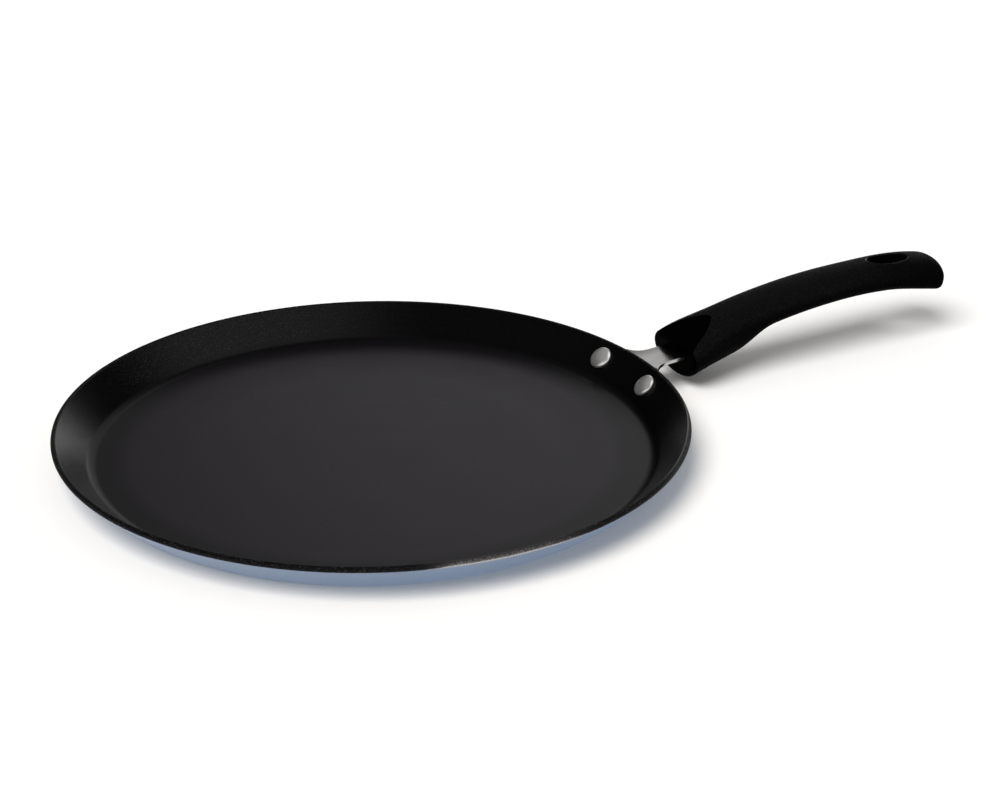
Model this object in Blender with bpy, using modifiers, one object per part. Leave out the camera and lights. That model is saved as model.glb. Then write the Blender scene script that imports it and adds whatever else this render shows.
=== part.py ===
"""A flat tawa: a shallow pressed griddle pan with one long moulded handle.

The pan is a disc with a flat floor, a short sloping wall and a rounded lip. Two domed
rivets hold a steel bracket to the outside of the wall, and the bracket's tang goes into
the mouth of the handle, where one screw from below holds it. The origin is the centre
of the pan's base, on the surface that it stands on. +Z is up, and the handle runs along
+X. Lengths are in metres and angles in degrees.
"""

import math

import bmesh
import bpy
import numpy as np
from mathutils import Matrix, Vector

# The gap that neighbouring pieces keep
CLEARANCE = 0.0003

# The pan
RIM_DIAMETER = 0.280
PAN_HEIGHT = 0.0165
PAN_SHEET = 0.0026
WALL_ANGLE = 44.0
CORNER_RADIUS = 0.007

# The rivets: how far apart they are, and how far down the wall from the lip
RIVET_SPACING = 0.0374
RIVET_DROP = 0.0082
RIVET_SHANK_DIAMETER = 0.006
RIVET_HEAD_DIAMETER = 0.011
RIVET_HEAD_HEIGHT = 0.0026
RIVET_TAIL_DIAMETER = 0.0094
RIVET_TAIL_HEIGHT = 0.0018
RIVET_RIM = 0.0005

# The bracket: a foot on the wall, a fold, a neck and a tang
BRACKET_SHEET = 0.0015
EAR_RADIUS = 0.0066
EAR_SHOULDER = 0.0036
FOLD_RADIUS = 0.005
FOLD_BELOW_LIP = 0.0026
NECK_ANGLE = 3.5
NECK_TAPER = 0.0165
TANG_WIDTH = 0.0176
TANG_DEPTH = 0.035
TANG_BEND_START = 0.008
TANG_TROUGH = 0.0005
TANG_NOSE = 0.004
TANG_NOSE_ROUND = 0.96
SOCKET_RUN_OUT = 0.0076

# The handle: how far its mouth is from the rim, its reach and rise from there, and its curve
MOUTH_GAP = 0.0190
GRIP_REACH = 0.1488
GRIP_RISE = 0.0119
GRIP_START_ANGLE = 21.7
GRIP_END_ANGLE = -13.3
GRIP_START_PULL = 0.052
GRIP_END_PULL = 0.038
MOUTH_TILT = 8.0
MOUTH_TILT_FADE = 0.0145
MOUTH_FILLET = 0.0018
END_ROUND_LENGTH = 0.0035
END_ROUND_WIDTH = 0.0045
END_ROUND_HEIGHT = 0.0030

# The handle's cross-section: half widths, crown heights and belly depths along it
MOUTH_HALF_WIDTH = 0.0178
WAIST_HALF_WIDTH = 0.0137
END_HALF_WIDTH = 0.0157
WAIST_START = 0.036
FLARE_LENGTH = 0.060
MOUTH_CROWN = 0.0080
GRIP_CROWN = 0.0076
END_CROWN = 0.0091
CROWN_FADE = 0.090
MOUTH_BELLY = 0.0115
BLOCK_BELLY = 0.0142
BLOCK_SWELL = 0.030
GRIP_BELLY = 0.0080
END_BELLY = 0.0059
BLOCK_STEP_START = 0.0264
BLOCK_STEP_END = 0.0534
MOUTH_CROWN_POWER = 2.5
GRIP_CROWN_POWER = 2.1
BELLY_POWER = 2.0
CROWN_POWER_FADE = 0.070

# The smooth scoop on top at the mouth
SCOOP_LENGTH = 0.0195
SCOOP_DEPTH = 0.0018

# The hang slot, an oval through the handle
SLOT_LENGTH = 0.0230
SLOT_WIDTH = 0.0117
SLOT_FROM_END = 0.0262

# The screw, its washer and the insert
SCREW_FROM_MOUTH = 0.022
SCREW_DIAMETER = 0.004
SCREW_HEAD_DIAMETER = 0.0074
SCREW_HEAD_HEIGHT = 0.0026
SCREW_SLOT_WIDTH = 0.001
SCREW_SLOT_DEPTH = 0.0011
SCREW_TIP_INSET = 0.0006
SEAT_WALL = 0.003
WASHER_DIAMETER = 0.0082
WASHER_THICKNESS = 0.0008
INSERT_DIAMETER = 0.0068
INSERT_LENGTH = 0.0055

# How finely the curved shapes are cut
PAN_STEPS = 128
SMALL_STEPS = 24
SECTION_POINTS = 36

# Worked out from the sizes above
RIM_RADIUS = RIM_DIAMETER / 2
WALL = math.radians(WALL_ANGLE)
WALL_UP = Vector((math.cos(WALL), 0.0, math.sin(WALL)))
WALL_INWARD = Vector((-math.sin(WALL), 0.0, math.cos(WALL)))
LIP_RADIUS = PAN_SHEET / 2
LIP_CENTRE = Vector((RIM_RADIUS - LIP_RADIUS, 0.0, PAN_HEIGHT - LIP_RADIUS))
NECK_RAD = math.radians(NECK_ANGLE)


def smooth_step(value):
    """Rises from 0 to 1 with a level start and end."""
    x = np.clip(value, 0.0, 1.0)
    return x * x * x * (x * (6.0 * x - 15.0) + 10.0)


def clear_scene():
    for obj in list(bpy.data.objects):
        bpy.data.objects.remove(obj, do_unlink=True)


def new_collection(name):
    collection = bpy.data.collections.new(name)
    bpy.context.scene.collection.children.link(collection)
    return collection


def new_material(name, colour, roughness, metallic=0.0):
    material = bpy.data.materials.new(name)
    material.use_nodes = True
    shader = material.node_tree.nodes["Principled BSDF"]
    shader.inputs["Base Color"].default_value = (*colour, 1.0)
    shader.inputs["Roughness"].default_value = roughness
    shader.inputs["Metallic"].default_value = metallic
    return material


def new_object(name, mesh, collection, material=None):
    obj = bpy.data.objects.new(name, mesh)
    collection.objects.link(obj)
    if material is not None:
        mesh.materials.append(material)
        mesh.shade_smooth()
        mesh.set_sharp_from_angle(angle=math.radians(35.0))
    return obj


def mark_as_cutter(obj):
    obj.hide_render = True
    obj.display_type = "WIRE"
    return obj


def subtract(target, cutter):
    modifier = target.modifiers.new("cut " + cutter.name, "BOOLEAN")
    modifier.operation = "DIFFERENCE"
    modifier.solver = "EXACT"
    modifier.object = cutter


def turned(name, profile, steps, collection, material=None, closed=False):
    """A turned piece: its profile of (radius, height) runs from the top down its outer side."""
    mesh = bpy.data.meshes.new(name)
    points = [(radius, 0.0, height) for radius, height in profile]
    edges = [(i, i + 1) for i in range(len(points) - 1)]
    if closed:
        edges.append((len(points) - 1, 0))
    mesh.from_pydata(points, edges, [])
    obj = new_object(name, mesh, collection, material)
    screw = obj.modifiers.new("turn", "SCREW")
    screw.axis = "Z"
    screw.steps = steps
    screw.render_steps = steps
    screw.use_merge_vertices = True
    screw.merge_threshold = 0.00001
    screw.use_smooth_shade = True
    return obj


def take_new_primitive(name, collection):
    """Names the primitive just added and moves it to a collection."""
    obj = bpy.context.object
    obj.name = name
    for other in list(obj.users_collection):
        other.objects.unlink(obj)
    collection.objects.link(obj)
    return obj


def cylinder(name, radius, low, high, collection):
    """A plain round bar along its own Z, from one height to another."""
    bpy.ops.mesh.primitive_cylinder_add(vertices=SMALL_STEPS, radius=radius, depth=high - low)
    obj = take_new_primitive(name, collection)
    obj.data.transform(Matrix.Translation((0.0, 0.0, (low + high) / 2)))
    return obj


def block(name, size, collection):
    """A box of the given length, width and height about its own centre."""
    bpy.ops.mesh.primitive_cube_add(size=1.0)
    obj = take_new_primitive(name, collection)
    obj.data.transform(Matrix.Diagonal((*size, 1.0)))
    return obj


def dome(radius, base, height, rim, rings=5):
    """Profile of a low dome: its crown first, then its edge down to the base."""
    cap = height - rim
    points = []
    for i in range(rings + 1):
        turn = math.pi / 2 * i / rings
        points.append((radius * math.sin(turn), base + rim + cap * math.cos(turn)))
    points.append((radius, base))
    return points


# The pan

def lip_outer_point():
    """The foot of the lip's round on the outside of the wall, where the wall's flat slope ends."""
    return LIP_CENTRE - LIP_RADIUS * WALL_INWARD


def slope_corner(point, height):
    """Where the slope through a point comes down to a height."""
    return point - WALL_UP * ((point.z - height) / math.sin(WALL))


def wall_point(drop):
    """A point on the inner wall, a distance down the slope from the lip's round."""
    return LIP_CENTRE + LIP_RADIUS * WALL_INWARD - WALL_UP * drop


def fillet(corner, radius, steps):
    """Points of the round between a level floor and the wall, from the floor up."""
    reach = radius * math.tan(WALL / 2)
    centre = Vector((corner.x - reach, 0.0, corner.z + radius))
    points = []
    for i in range(steps + 1):
        turn = WALL * i / steps
        points.append((centre.x + radius * math.sin(turn), centre.z - radius * math.cos(turn)))
    return points


def pan_profile():
    """From the floor's centre out, up the wall, over the lip, down the outside and back in."""
    inner = fillet(slope_corner(wall_point(0.0), PAN_SHEET), CORNER_RADIUS, 6)
    outer = fillet(slope_corner(lip_outer_point(), 0.0), CORNER_RADIUS + PAN_SHEET, 6)
    lip = []
    for i in range(9):
        turn = WALL + math.pi / 2 - math.pi * i / 8
        lip.append((LIP_CENTRE.x + LIP_RADIUS * math.cos(turn),
                    LIP_CENTRE.z + LIP_RADIUS * math.sin(turn)))
    return [(0.0, PAN_SHEET)] + inner + lip + outer[::-1] + [(0.0, 0.0)]


def rivet_frames():
    """Where each rivet stands on the inner wall: its point and its turn about the pan's axis."""
    seat = wall_point(RIVET_DROP)
    half_angle = math.asin(RIVET_SPACING / 2 / seat.x)
    frames = {}
    for side, sign in (("left", 1.0), ("right", -1.0)):
        turn = Matrix.Rotation(sign * half_angle, 4, "Z")
        lean = Matrix.Rotation(-WALL, 4, "Y")
        frames[side] = turn @ Matrix.Translation(seat) @ lean
    return frames


def make_pan(parts, cutters, material):
    pan = turned("pan_body", pan_profile(), PAN_STEPS, parts, material)
    for side, frame in rivet_frames().items():
        hole = cylinder("pan_rivet_hole_" + side, RIVET_SHANK_DIAMETER / 2 + CLEARANCE,
                        -2 * PAN_SHEET, PAN_SHEET, cutters)
        hole.matrix_world = frame
        subtract(pan, mark_as_cutter(hole))
    return pan


# The rivets

def rivet_profile():
    """Head, shank and closed tail. The head stands a little off the hollow of the wall."""
    head = RIVET_HEAD_DIAMETER / 2
    shank = RIVET_SHANK_DIAMETER / 2
    tail = RIVET_TAIL_DIAMETER / 2
    hollow = head * head / (2 * wall_point(RIVET_DROP).x)
    seat = CLEARANCE + hollow
    grip = -(PAN_SHEET + BRACKET_SHEET + 2 * CLEARANCE)
    top = dome(head, seat, RIVET_HEAD_HEIGHT, RIVET_RIM)
    low = [(radius, grip - (height - grip))
           for radius, height in dome(tail, grip, RIVET_TAIL_HEIGHT, RIVET_RIM, 3)]
    return top + [(shank, seat), (shank, grip)] + low[::-1]


def make_rivets(parts, material):
    for side, frame in rivet_frames().items():
        rivet = turned("rivet_" + side, rivet_profile(), SMALL_STEPS, parts, material)
        rivet.matrix_world = frame


# The handle's centre line, in the plane y = 0

def foot_line_point(climb):
    """A point of the foot's middle surface, a distance up the slope from the rivets."""
    stand_off = PAN_SHEET + CLEARANCE + BRACKET_SHEET / 2
    return wall_point(RIVET_DROP) - WALL_INWARD * stand_off + WALL_UP * climb


def fold_points():
    """The fold's start and centre, and the start of the neck."""
    start = foot_line_point(RIVET_DROP - FOLD_BELOW_LIP)
    centre = start - WALL_INWARD * FOLD_RADIUS
    end = centre + Vector((-math.sin(NECK_RAD), 0.0, math.cos(NECK_RAD))) * FOLD_RADIUS
    return start, centre, end


def mouth_point():
    """The centre of the handle's mouth, on the neck's middle surface."""
    neck = fold_points()[2]
    x = RIM_RADIUS + MOUTH_GAP
    return Vector((x, 0.0, neck.z + (x - neck.x) * math.tan(NECK_RAD)))


def grip_bezier():
    """The four control points of the handle's centre line."""
    start = mouth_point()
    end = start + Vector((GRIP_REACH, 0.0, GRIP_RISE))
    rise, fall = math.radians(GRIP_START_ANGLE), math.radians(GRIP_END_ANGLE)
    pull_out = Vector((math.cos(rise), 0.0, math.sin(rise))) * GRIP_START_PULL
    pull_back = Vector((math.cos(fall), 0.0, math.sin(fall))) * GRIP_END_PULL
    return start, start + pull_out, end - pull_back, end


def grip_line(samples=400):
    """The centre line as distances along it, points (x, z) and angles, finely sampled."""
    p0, p1, p2, p3 = (np.array((p.x, p.z)) for p in grip_bezier())
    t = np.linspace(0.0, 1.0, samples)[:, None]
    points = (1 - t) ** 3 * p0 + 3 * (1 - t) ** 2 * t * p1 + 3 * (1 - t) * t ** 2 * p2 + t ** 3 * p3
    slope = (1 - t) ** 2 * (p1 - p0) + 2 * (1 - t) * t * (p2 - p1) + t ** 2 * (p3 - p2)
    steps = np.linalg.norm(np.diff(points, axis=0), axis=1)
    along = np.concatenate(([0.0], np.cumsum(steps)))
    return along, points, np.arctan2(slope[:, 1], slope[:, 0])


LINE_ALONG, LINE_POINTS, LINE_ANGLES = grip_line()
GRIP_LENGTH = float(LINE_ALONG[-1])


def line_at(distance):
    """The centre line's x, z and angle at distances from the mouth."""
    x = np.interp(distance, LINE_ALONG, LINE_POINTS[:, 0])
    z = np.interp(distance, LINE_ALONG, LINE_POINTS[:, 1])
    return x, z, np.interp(distance, LINE_ALONG, LINE_ANGLES)


def line_frame(distance):
    """A frame on the centre line: its X runs along the handle and its Z away from the belly."""
    x, z, angle = (float(value) for value in line_at(distance))
    return Matrix.Translation((x, 0.0, z)) @ Matrix.Rotation(-angle, 4, "Y")


# The bracket

def bracket_path(after_tip=0.0):
    """The bracket's middle line in the plane y = 0, as (x, z, height up the slope, neck share)."""
    rows = []
    fold_start, fold_centre, neck_start = fold_points()
    straight = RIVET_DROP - FOLD_BELOW_LIP
    ear_turns = np.linspace(-math.pi / 2, math.pi / 2, 11)
    climbs = [EAR_RADIUS * math.sin(turn) for turn in ear_turns]
    climbs = [climb for climb in climbs if climb < straight - CLEARANCE] + [straight]
    for climb in climbs:
        point = foot_line_point(climb)
        rows.append((point.x, point.z, climb, 0.0))
    for i in range(1, 7):
        turn = WALL + (NECK_RAD - WALL) * i / 6
        climb = straight + (WALL - turn) * FOLD_RADIUS
        rows.append((fold_centre.x - FOLD_RADIUS * math.sin(turn),
                     fold_centre.z + FOLD_RADIUS * math.cos(turn), climb, i / 6))
    mouth = mouth_point()
    neck_length = (mouth - neck_start).length
    climb = rows[-1][2]
    for i in range(1, 9):
        point = neck_start.lerp(mouth, i / 8)
        rows.append((point.x, point.z, climb + neck_length * i / 8, 1.0))
    tip = line_frame(TANG_DEPTH) @ Vector((0.0, 0.0, 0.0))
    bend = mouth + Vector((math.cos(NECK_RAD), 0.0, math.sin(NECK_RAD))) * TANG_BEND_START
    climb = rows[-1][2]
    last = mouth
    for i in range(1, 11):
        t = i / 10
        point = mouth * (1 - t) ** 2 + bend * 2 * t * (1 - t) + tip * t ** 2
        climb += (point - last).length
        last = point
        rows.append((point.x, point.z, climb, 1.0))
    if after_tip > 0.0:
        beyond = tip + (tip - bend).normalized() * after_tip
        rows.append((beyond.x, beyond.z, climb + after_tip, 1.0))
    return np.array(rows)


def bracket_half_width(climb, tip_climb):
    """Rounded ears beside the rivets, a neck that narrows in a curve, and a tang with a nose."""
    ear = np.sqrt(np.clip(EAR_RADIUS ** 2 - climb ** 2, 0.0, None)) + RIVET_SPACING / 2
    shoulder = math.sqrt(EAR_RADIUS ** 2 - EAR_SHOULDER ** 2) + RIVET_SPACING / 2
    fade = np.clip(1.0 - (climb - EAR_SHOULDER) / NECK_TAPER, 0.0, 1.0) ** 3
    neck = TANG_WIDTH / 2 + (shoulder - TANG_WIDTH / 2) * fade
    into_nose = np.clip((climb - (tip_climb - TANG_NOSE)) / TANG_NOSE, 0.0, 1.0)
    nose = TANG_NOSE * (1.0 - np.sqrt(1.0 - (TANG_NOSE_ROUND * into_nose) ** 2))
    return np.where(climb < EAR_SHOULDER, ear, neck - nose)


def sheet_grid(name, rows, half_widths, thickness, columns, collection, material=None):
    """A formed strip: it follows the wall's curve at the foot and is a shallow trough beyond."""
    across = np.linspace(-1.0, 1.0, columns)[None, :]
    x, z, _, neck_share = (rows[:, i][:, None] for i in range(4))
    y = half_widths[:, None] * across
    on_wall = np.sqrt(x ** 2 - y ** 2)
    grid_x = on_wall * (1.0 - neck_share) + x * neck_share
    grid_z = z + neck_share * TANG_TROUGH * (y / (TANG_WIDTH / 2)) ** 2
    points = np.stack([grid_x, y, grid_z], axis=-1).reshape(-1, 3)
    faces = []
    for row in range(len(rows) - 1):
        for column in range(columns - 1):
            a = row * columns + column
            faces.append((a, a + columns, a + columns + 1, a + 1))
    mesh = bpy.data.meshes.new(name)
    mesh.from_pydata(points.tolist(), [], faces)
    obj = new_object(name, mesh, collection, material)
    wall = obj.modifiers.new("sheet", "SOLIDIFY")
    wall.thickness = thickness
    wall.offset = 0.0
    wall.use_even_offset = True
    return obj


def make_bracket(parts, cutters, material):
    rows = bracket_path()
    widths = bracket_half_width(rows[:, 2], rows[-1, 2])
    bracket = sheet_grid("handle_bracket", rows, widths, BRACKET_SHEET, 15, parts, material)
    for side, frame in rivet_frames().items():
        hole = cylinder("ear_hole_" + side, RIVET_SHANK_DIAMETER / 2 + CLEARANCE,
                        -PAN_SHEET - 4 * BRACKET_SHEET, -PAN_SHEET / 2, cutters)
        hole.matrix_world = frame
        subtract(bracket, mark_as_cutter(hole))
    hole = cylinder("tang_hole", SCREW_DIAMETER / 2 + CLEARANCE,
                    -MOUTH_BELLY, MOUTH_CROWN, cutters)
    hole.matrix_world = line_frame(SCREW_FROM_MOUTH)
    subtract(bracket, mark_as_cutter(hole))
    return bracket


# The handle

def end_flare(d):
    """How far the handle has opened out to its end: over the last stretch, from 0 to 1."""
    return smooth_step(1.0 - (GRIP_LENGTH - d) / FLARE_LENGTH)


def grip_half_width(d):
    """Wide at the mouth, drawn in to the waist, and wider again at the end."""
    mouth_share = 1.0 - smooth_step(d / WAIST_START)
    return (WAIST_HALF_WIDTH + (MOUTH_HALF_WIDTH - WAIST_HALF_WIDTH) * mouth_share
            + (END_HALF_WIDTH - WAIST_HALF_WIDTH) * end_flare(d))


def grip_crown(d):
    mouth_share = 1.0 - smooth_step(d / CROWN_FADE)
    return (GRIP_CROWN + (MOUTH_CROWN - GRIP_CROWN) * mouth_share
            + (END_CROWN - GRIP_CROWN) * end_flare(d))


def grip_belly(d):
    """The thick front block swells from the mouth, then steps up to the slimmer grip."""
    block = MOUTH_BELLY + (BLOCK_BELLY - MOUTH_BELLY) * smooth_step(d / BLOCK_SWELL)
    slim = GRIP_BELLY + (END_BELLY - GRIP_BELLY) * d / GRIP_LENGTH
    step = smooth_step((d - BLOCK_STEP_START) / (BLOCK_STEP_END - BLOCK_STEP_START))
    return block * (1.0 - step) + slim * step


def grip_stations():
    """Each cross-section: its distance from the mouth, and what its edge is drawn in by."""
    stations = []
    for i in range(4):
        turn = math.pi / 2 * i / 3
        inset = MOUTH_FILLET * (1.0 - math.sin(turn))
        stations.append((MOUTH_FILLET * (1.0 - math.cos(turn)), inset, inset))
    body_end = GRIP_LENGTH - END_ROUND_LENGTH
    for d in np.linspace(MOUTH_FILLET, body_end, 36)[1:]:
        stations.append((float(d), 0.0, 0.0))
    for i in range(1, 7):
        turn = math.pi / 2 * i / 6
        inset = 1.0 - math.cos(turn)
        stations.append((body_end + END_ROUND_LENGTH * math.sin(turn),
                         END_ROUND_WIDTH * inset, END_ROUND_HEIGHT * inset))
    return np.array(stations)


def grip_points(stations, section_points):
    """The handle's surface: half superellipses above and below the centre line."""
    d, inset_width, inset_height = (stations[:, i][:, None] for i in range(3))
    x, z, angle = line_at(d)
    lean = math.radians(MOUTH_TILT)
    angle = lean + (angle - lean) * smooth_step(d / MOUTH_TILT_FADE)
    turn = np.linspace(0.0, 2.0 * math.pi, section_points, endpoint=False)[None, :]
    upper = np.sin(turn) > 0.0
    crown_power = (MOUTH_CROWN_POWER + (GRIP_CROWN_POWER - MOUTH_CROWN_POWER)
                   * smooth_step(d / CROWN_POWER_FADE))
    power = 2.0 / np.where(upper, crown_power, BELLY_POWER)
    across = (grip_half_width(d) - inset_width) * np.sign(np.cos(turn)) * np.abs(np.cos(turn)) ** power
    depth = np.where(upper, grip_crown(d), grip_belly(d)) - inset_height
    up = depth * np.sign(np.sin(turn)) * np.abs(np.sin(turn)) ** power
    return np.stack([x - up * np.sin(angle), across, z + up * np.cos(angle)], axis=-1)


def loft(name, rings, collection, material):
    """Joins rings of points with faces and closes both ends."""
    rows, columns = rings.shape[:2]
    faces = []
    for row in range(rows - 1):
        for column in range(columns):
            after = (column + 1) % columns
            faces.append((row * columns + column, row * columns + after,
                          (row + 1) * columns + after, (row + 1) * columns + column))
    faces.append(tuple(reversed(range(columns))))
    faces.append(tuple(range((rows - 1) * columns, rows * columns)))
    mesh = bpy.data.meshes.new(name)
    mesh.from_pydata(rings.reshape(-1, 3).tolist(), [], faces)
    shell = bmesh.new()
    shell.from_mesh(mesh)
    bmesh.ops.recalc_face_normals(shell, faces=shell.faces)
    shell.to_mesh(mesh)
    shell.free()
    return new_object(name, mesh, collection, material)


def scoop_cutter(cutters):
    """A block whose flat underside slopes down to the mouth and shaves the crown off there."""
    x0, z0, angle0 = (float(value) for value in line_at(0.0))
    x1, z1, angle1 = (float(value) for value in line_at(SCOOP_LENGTH))
    lean = math.radians(MOUTH_TILT)
    low = float(grip_crown(0.0)) - SCOOP_DEPTH
    high = float(grip_crown(SCOOP_LENGTH))
    front = Vector((x0 - low * math.sin(lean), 0.0, z0 + low * math.cos(lean)))
    back = Vector((x1 - high * math.sin(angle1), 0.0, z1 + high * math.cos(angle1)))
    slope = math.atan2(back.z - front.z, back.x - front.x)
    width = 4 * MOUTH_HALF_WIDTH
    cutter = block("scoop_block", (width, width, MOUTH_CROWN), cutters)
    cutter.data.transform(Matrix.Translation((0.0, 0.0, MOUTH_CROWN / 2)))
    cutter.matrix_world = Matrix.Translation(front) @ Matrix.Rotation(-slope, 4, "Y")
    return mark_as_cutter(cutter)


def socket_cutter(cutters):
    """The tang's own shape, larger by the clearance and run out through the mouth."""
    rows = bracket_path(after_tip=CLEARANCE)
    rows = rows[rows[:, 0] > mouth_point().x - SOCKET_RUN_OUT]
    widths = np.full(len(rows), TANG_WIDTH / 2 + CLEARANCE)
    cutter = sheet_grid("tang_socket", rows, widths, BRACKET_SHEET + 2 * CLEARANCE, 9, cutters)
    return mark_as_cutter(cutter)


def tang_height():
    """How far the tang's middle line lies above the centre line on the screw's axis."""
    rows = bracket_path()
    frame = line_frame(SCREW_FROM_MOUTH).inverted()
    local = [frame @ Vector((x, 0.0, z)) for x, z, _, _ in rows]
    return float(np.interp(0.0, [p.x for p in local], [p.z for p in local]))


def screw_heights():
    """Heights along the screw's axis: the seat, and the insert's two ends."""
    half_socket = BRACKET_SHEET / 2 + CLEARANCE
    middle = tang_height()
    seat = middle - half_socket - SEAT_WALL
    insert_low = middle + half_socket
    return seat, insert_low, insert_low + INSERT_LENGTH


def slot_cutter(cutters):
    """An oval bar across the handle."""
    reach = 2 * BLOCK_BELLY
    slot = cylinder("hang_slot", 0.5, -reach, reach, cutters)
    slot.data.transform(Matrix.Diagonal((SLOT_LENGTH, SLOT_WIDTH, 1.0, 1.0)))
    slot.matrix_world = line_frame(GRIP_LENGTH - SLOT_FROM_END)
    return mark_as_cutter(slot)


def make_grip(parts, cutters, material):
    grip = loft("handle_grip", grip_points(grip_stations(), SECTION_POINTS), parts, material)
    seat, insert_low, insert_high = screw_heights()
    frame = line_frame(SCREW_FROM_MOUTH)
    below = -2 * BLOCK_BELLY
    bars = (
        ("counterbore", WASHER_DIAMETER / 2 + CLEARANCE, below, seat),
        ("screw_way", SCREW_DIAMETER / 2 + CLEARANCE, below, insert_low),
        ("insert_bed", INSERT_DIAMETER / 2 + CLEARANCE,
         insert_low - BRACKET_SHEET / 2, insert_high + CLEARANCE),
    )
    subtract(grip, scoop_cutter(cutters))
    subtract(grip, slot_cutter(cutters))
    subtract(grip, socket_cutter(cutters))
    for name, radius, low, high in bars:
        bar = cylinder(name, radius, low, high, cutters)
        bar.matrix_world = frame
        subtract(grip, mark_as_cutter(bar))
    return grip


# The screw, its washer and the insert

def make_screw(parts, cutters, material):
    """A low domed head with a slot, under a shank that ends inside the insert."""
    seat, _, insert_high = screw_heights()
    head_top = seat - WASHER_THICKNESS - 2 * CLEARANCE
    shank = SCREW_DIAMETER / 2
    tip = insert_high - SCREW_TIP_INSET
    head = [(radius, head_top - (height - head_top)) for radius, height in
            dome(SCREW_HEAD_DIAMETER / 2, head_top, SCREW_HEAD_HEIGHT, SCREW_HEAD_HEIGHT / 2, 4)]
    point = shank / 4
    profile = [(0.0, tip), (shank - point, tip), (shank, tip - point), (shank, head_top)]
    screw = turned("grip_screw", profile + head[::-1], SMALL_STEPS, parts, material)
    frame = line_frame(SCREW_FROM_MOUTH)
    screw.matrix_world = frame
    bottom = head_top - SCREW_HEAD_HEIGHT
    size = (2 * SCREW_HEAD_DIAMETER, SCREW_SLOT_WIDTH, 2 * SCREW_SLOT_DEPTH)
    slot = block("screw_slot", size, cutters)
    slot.matrix_world = frame @ Matrix.Translation((0.0, 0.0, bottom))
    subtract(screw, mark_as_cutter(slot))


def ring_profile(inner, outer, low, high):
    return [(outer, high), (outer, low), (inner, low), (inner, high)]


def make_washer(parts, material):
    seat = screw_heights()[0] - CLEARANCE
    profile = ring_profile(SCREW_DIAMETER / 2 + CLEARANCE, WASHER_DIAMETER / 2,
                           seat - WASHER_THICKNESS, seat)
    washer = turned("screw_washer", profile, SMALL_STEPS, parts, material, closed=True)
    washer.matrix_world = line_frame(SCREW_FROM_MOUTH)


def make_insert(parts, material):
    """A brass bush with a flange-like collar at each end and a waist that locks it in."""
    _, low, high = screw_heights()
    outer = INSERT_DIAMETER / 2
    inner = SCREW_DIAMETER / 2 + CLEARANCE
    waist = outer - (outer - inner) / 3
    third = (high - low) / 3
    profile = [(outer, high), (outer, high - third), (waist, high - third),
               (waist, low + third), (outer, low + third), (outer, low), (inner, low), (inner, high)]
    insert = turned("threaded_insert", profile, SMALL_STEPS, parts, material, closed=True)
    insert.matrix_world = line_frame(SCREW_FROM_MOUTH)


def main():
    clear_scene()
    parts = new_collection("tawa")
    cutters = new_collection("tawa cutters")
    coating = new_material("black non-stick coating", (0.022, 0.021, 0.022), 0.5)
    steel = new_material("satin steel", (0.62, 0.60, 0.58), 0.32, 1.0)
    rivet_metal = new_material("satin rivet metal", (0.70, 0.69, 0.68), 0.35, 1.0)
    moulding = new_material("black moulding", (0.010, 0.010, 0.011), 0.45)
    screw_metal = new_material("plated screw steel", (0.55, 0.54, 0.52), 0.30, 1.0)
    brass = new_material("brass", (0.72, 0.52, 0.22), 0.30, 1.0)
    make_pan(parts, cutters, coating)
    make_rivets(parts, rivet_metal)
    make_bracket(parts, cutters, steel)
    make_grip(parts, cutters, moulding)
    make_screw(parts, cutters, screw_metal)
    make_washer(parts, screw_metal)
    make_insert(parts, brass)


main()
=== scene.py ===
"""A flat tawa in a plain studio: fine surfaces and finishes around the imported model.

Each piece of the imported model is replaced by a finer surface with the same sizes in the
same place. Lengths are in metres and angles in radians. The origin is the centre of the
pan's base, +Z is up, and the handle runs along +X.
"""

import math

import bmesh
import bpy
import numpy as np
from bpy.props import FloatProperty, FloatVectorProperty, PointerProperty
from mathutils import Matrix, Vector


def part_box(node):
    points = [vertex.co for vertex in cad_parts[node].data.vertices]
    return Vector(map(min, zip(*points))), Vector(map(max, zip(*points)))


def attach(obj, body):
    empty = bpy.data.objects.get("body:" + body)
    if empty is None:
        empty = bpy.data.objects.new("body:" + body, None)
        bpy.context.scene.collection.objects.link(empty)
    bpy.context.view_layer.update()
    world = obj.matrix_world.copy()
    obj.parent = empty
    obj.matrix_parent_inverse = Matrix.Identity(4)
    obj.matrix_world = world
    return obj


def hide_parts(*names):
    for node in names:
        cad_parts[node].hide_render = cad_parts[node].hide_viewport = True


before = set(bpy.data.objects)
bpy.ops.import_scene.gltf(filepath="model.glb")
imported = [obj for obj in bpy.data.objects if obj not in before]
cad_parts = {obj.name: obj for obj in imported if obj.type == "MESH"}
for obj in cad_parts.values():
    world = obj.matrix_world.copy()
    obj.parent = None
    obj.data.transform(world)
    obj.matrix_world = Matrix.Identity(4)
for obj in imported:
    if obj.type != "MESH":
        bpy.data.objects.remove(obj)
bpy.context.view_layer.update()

bl_info = {
    "name": "Tawa",
    "version": (1, 0, 0),
    "blender": (4, 5, 0),
    "location": "3D View > Sidebar > Tawa",
    "description": "Builds a flat tawa with a riveted handle, and a studio to see it in",
    "category": "Add Mesh",
}

PAN_LOW, PAN_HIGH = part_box("pan_body")

# The gap between neighbouring pieces
CLEARANCE = 0.0003

# How finely the shapes are cut
PAN_STEPS = 400
RIVET_STEPS = 96
SMALL_STEPS = 64
GRIP_COLUMNS = 176

# Edges between faces that meet at a steeper angle than this stay sharp
CREASE = math.radians(35.0)


# Settings

def length(name, description, default):
    return FloatProperty(name=name, description=description, default=default,
                         precision=4, step=0.01, unit="LENGTH")


def angle(name, description, degrees):
    return FloatProperty(name=name, description=description, default=math.radians(degrees),
                         unit="ROTATION", subtype="ANGLE")


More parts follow.
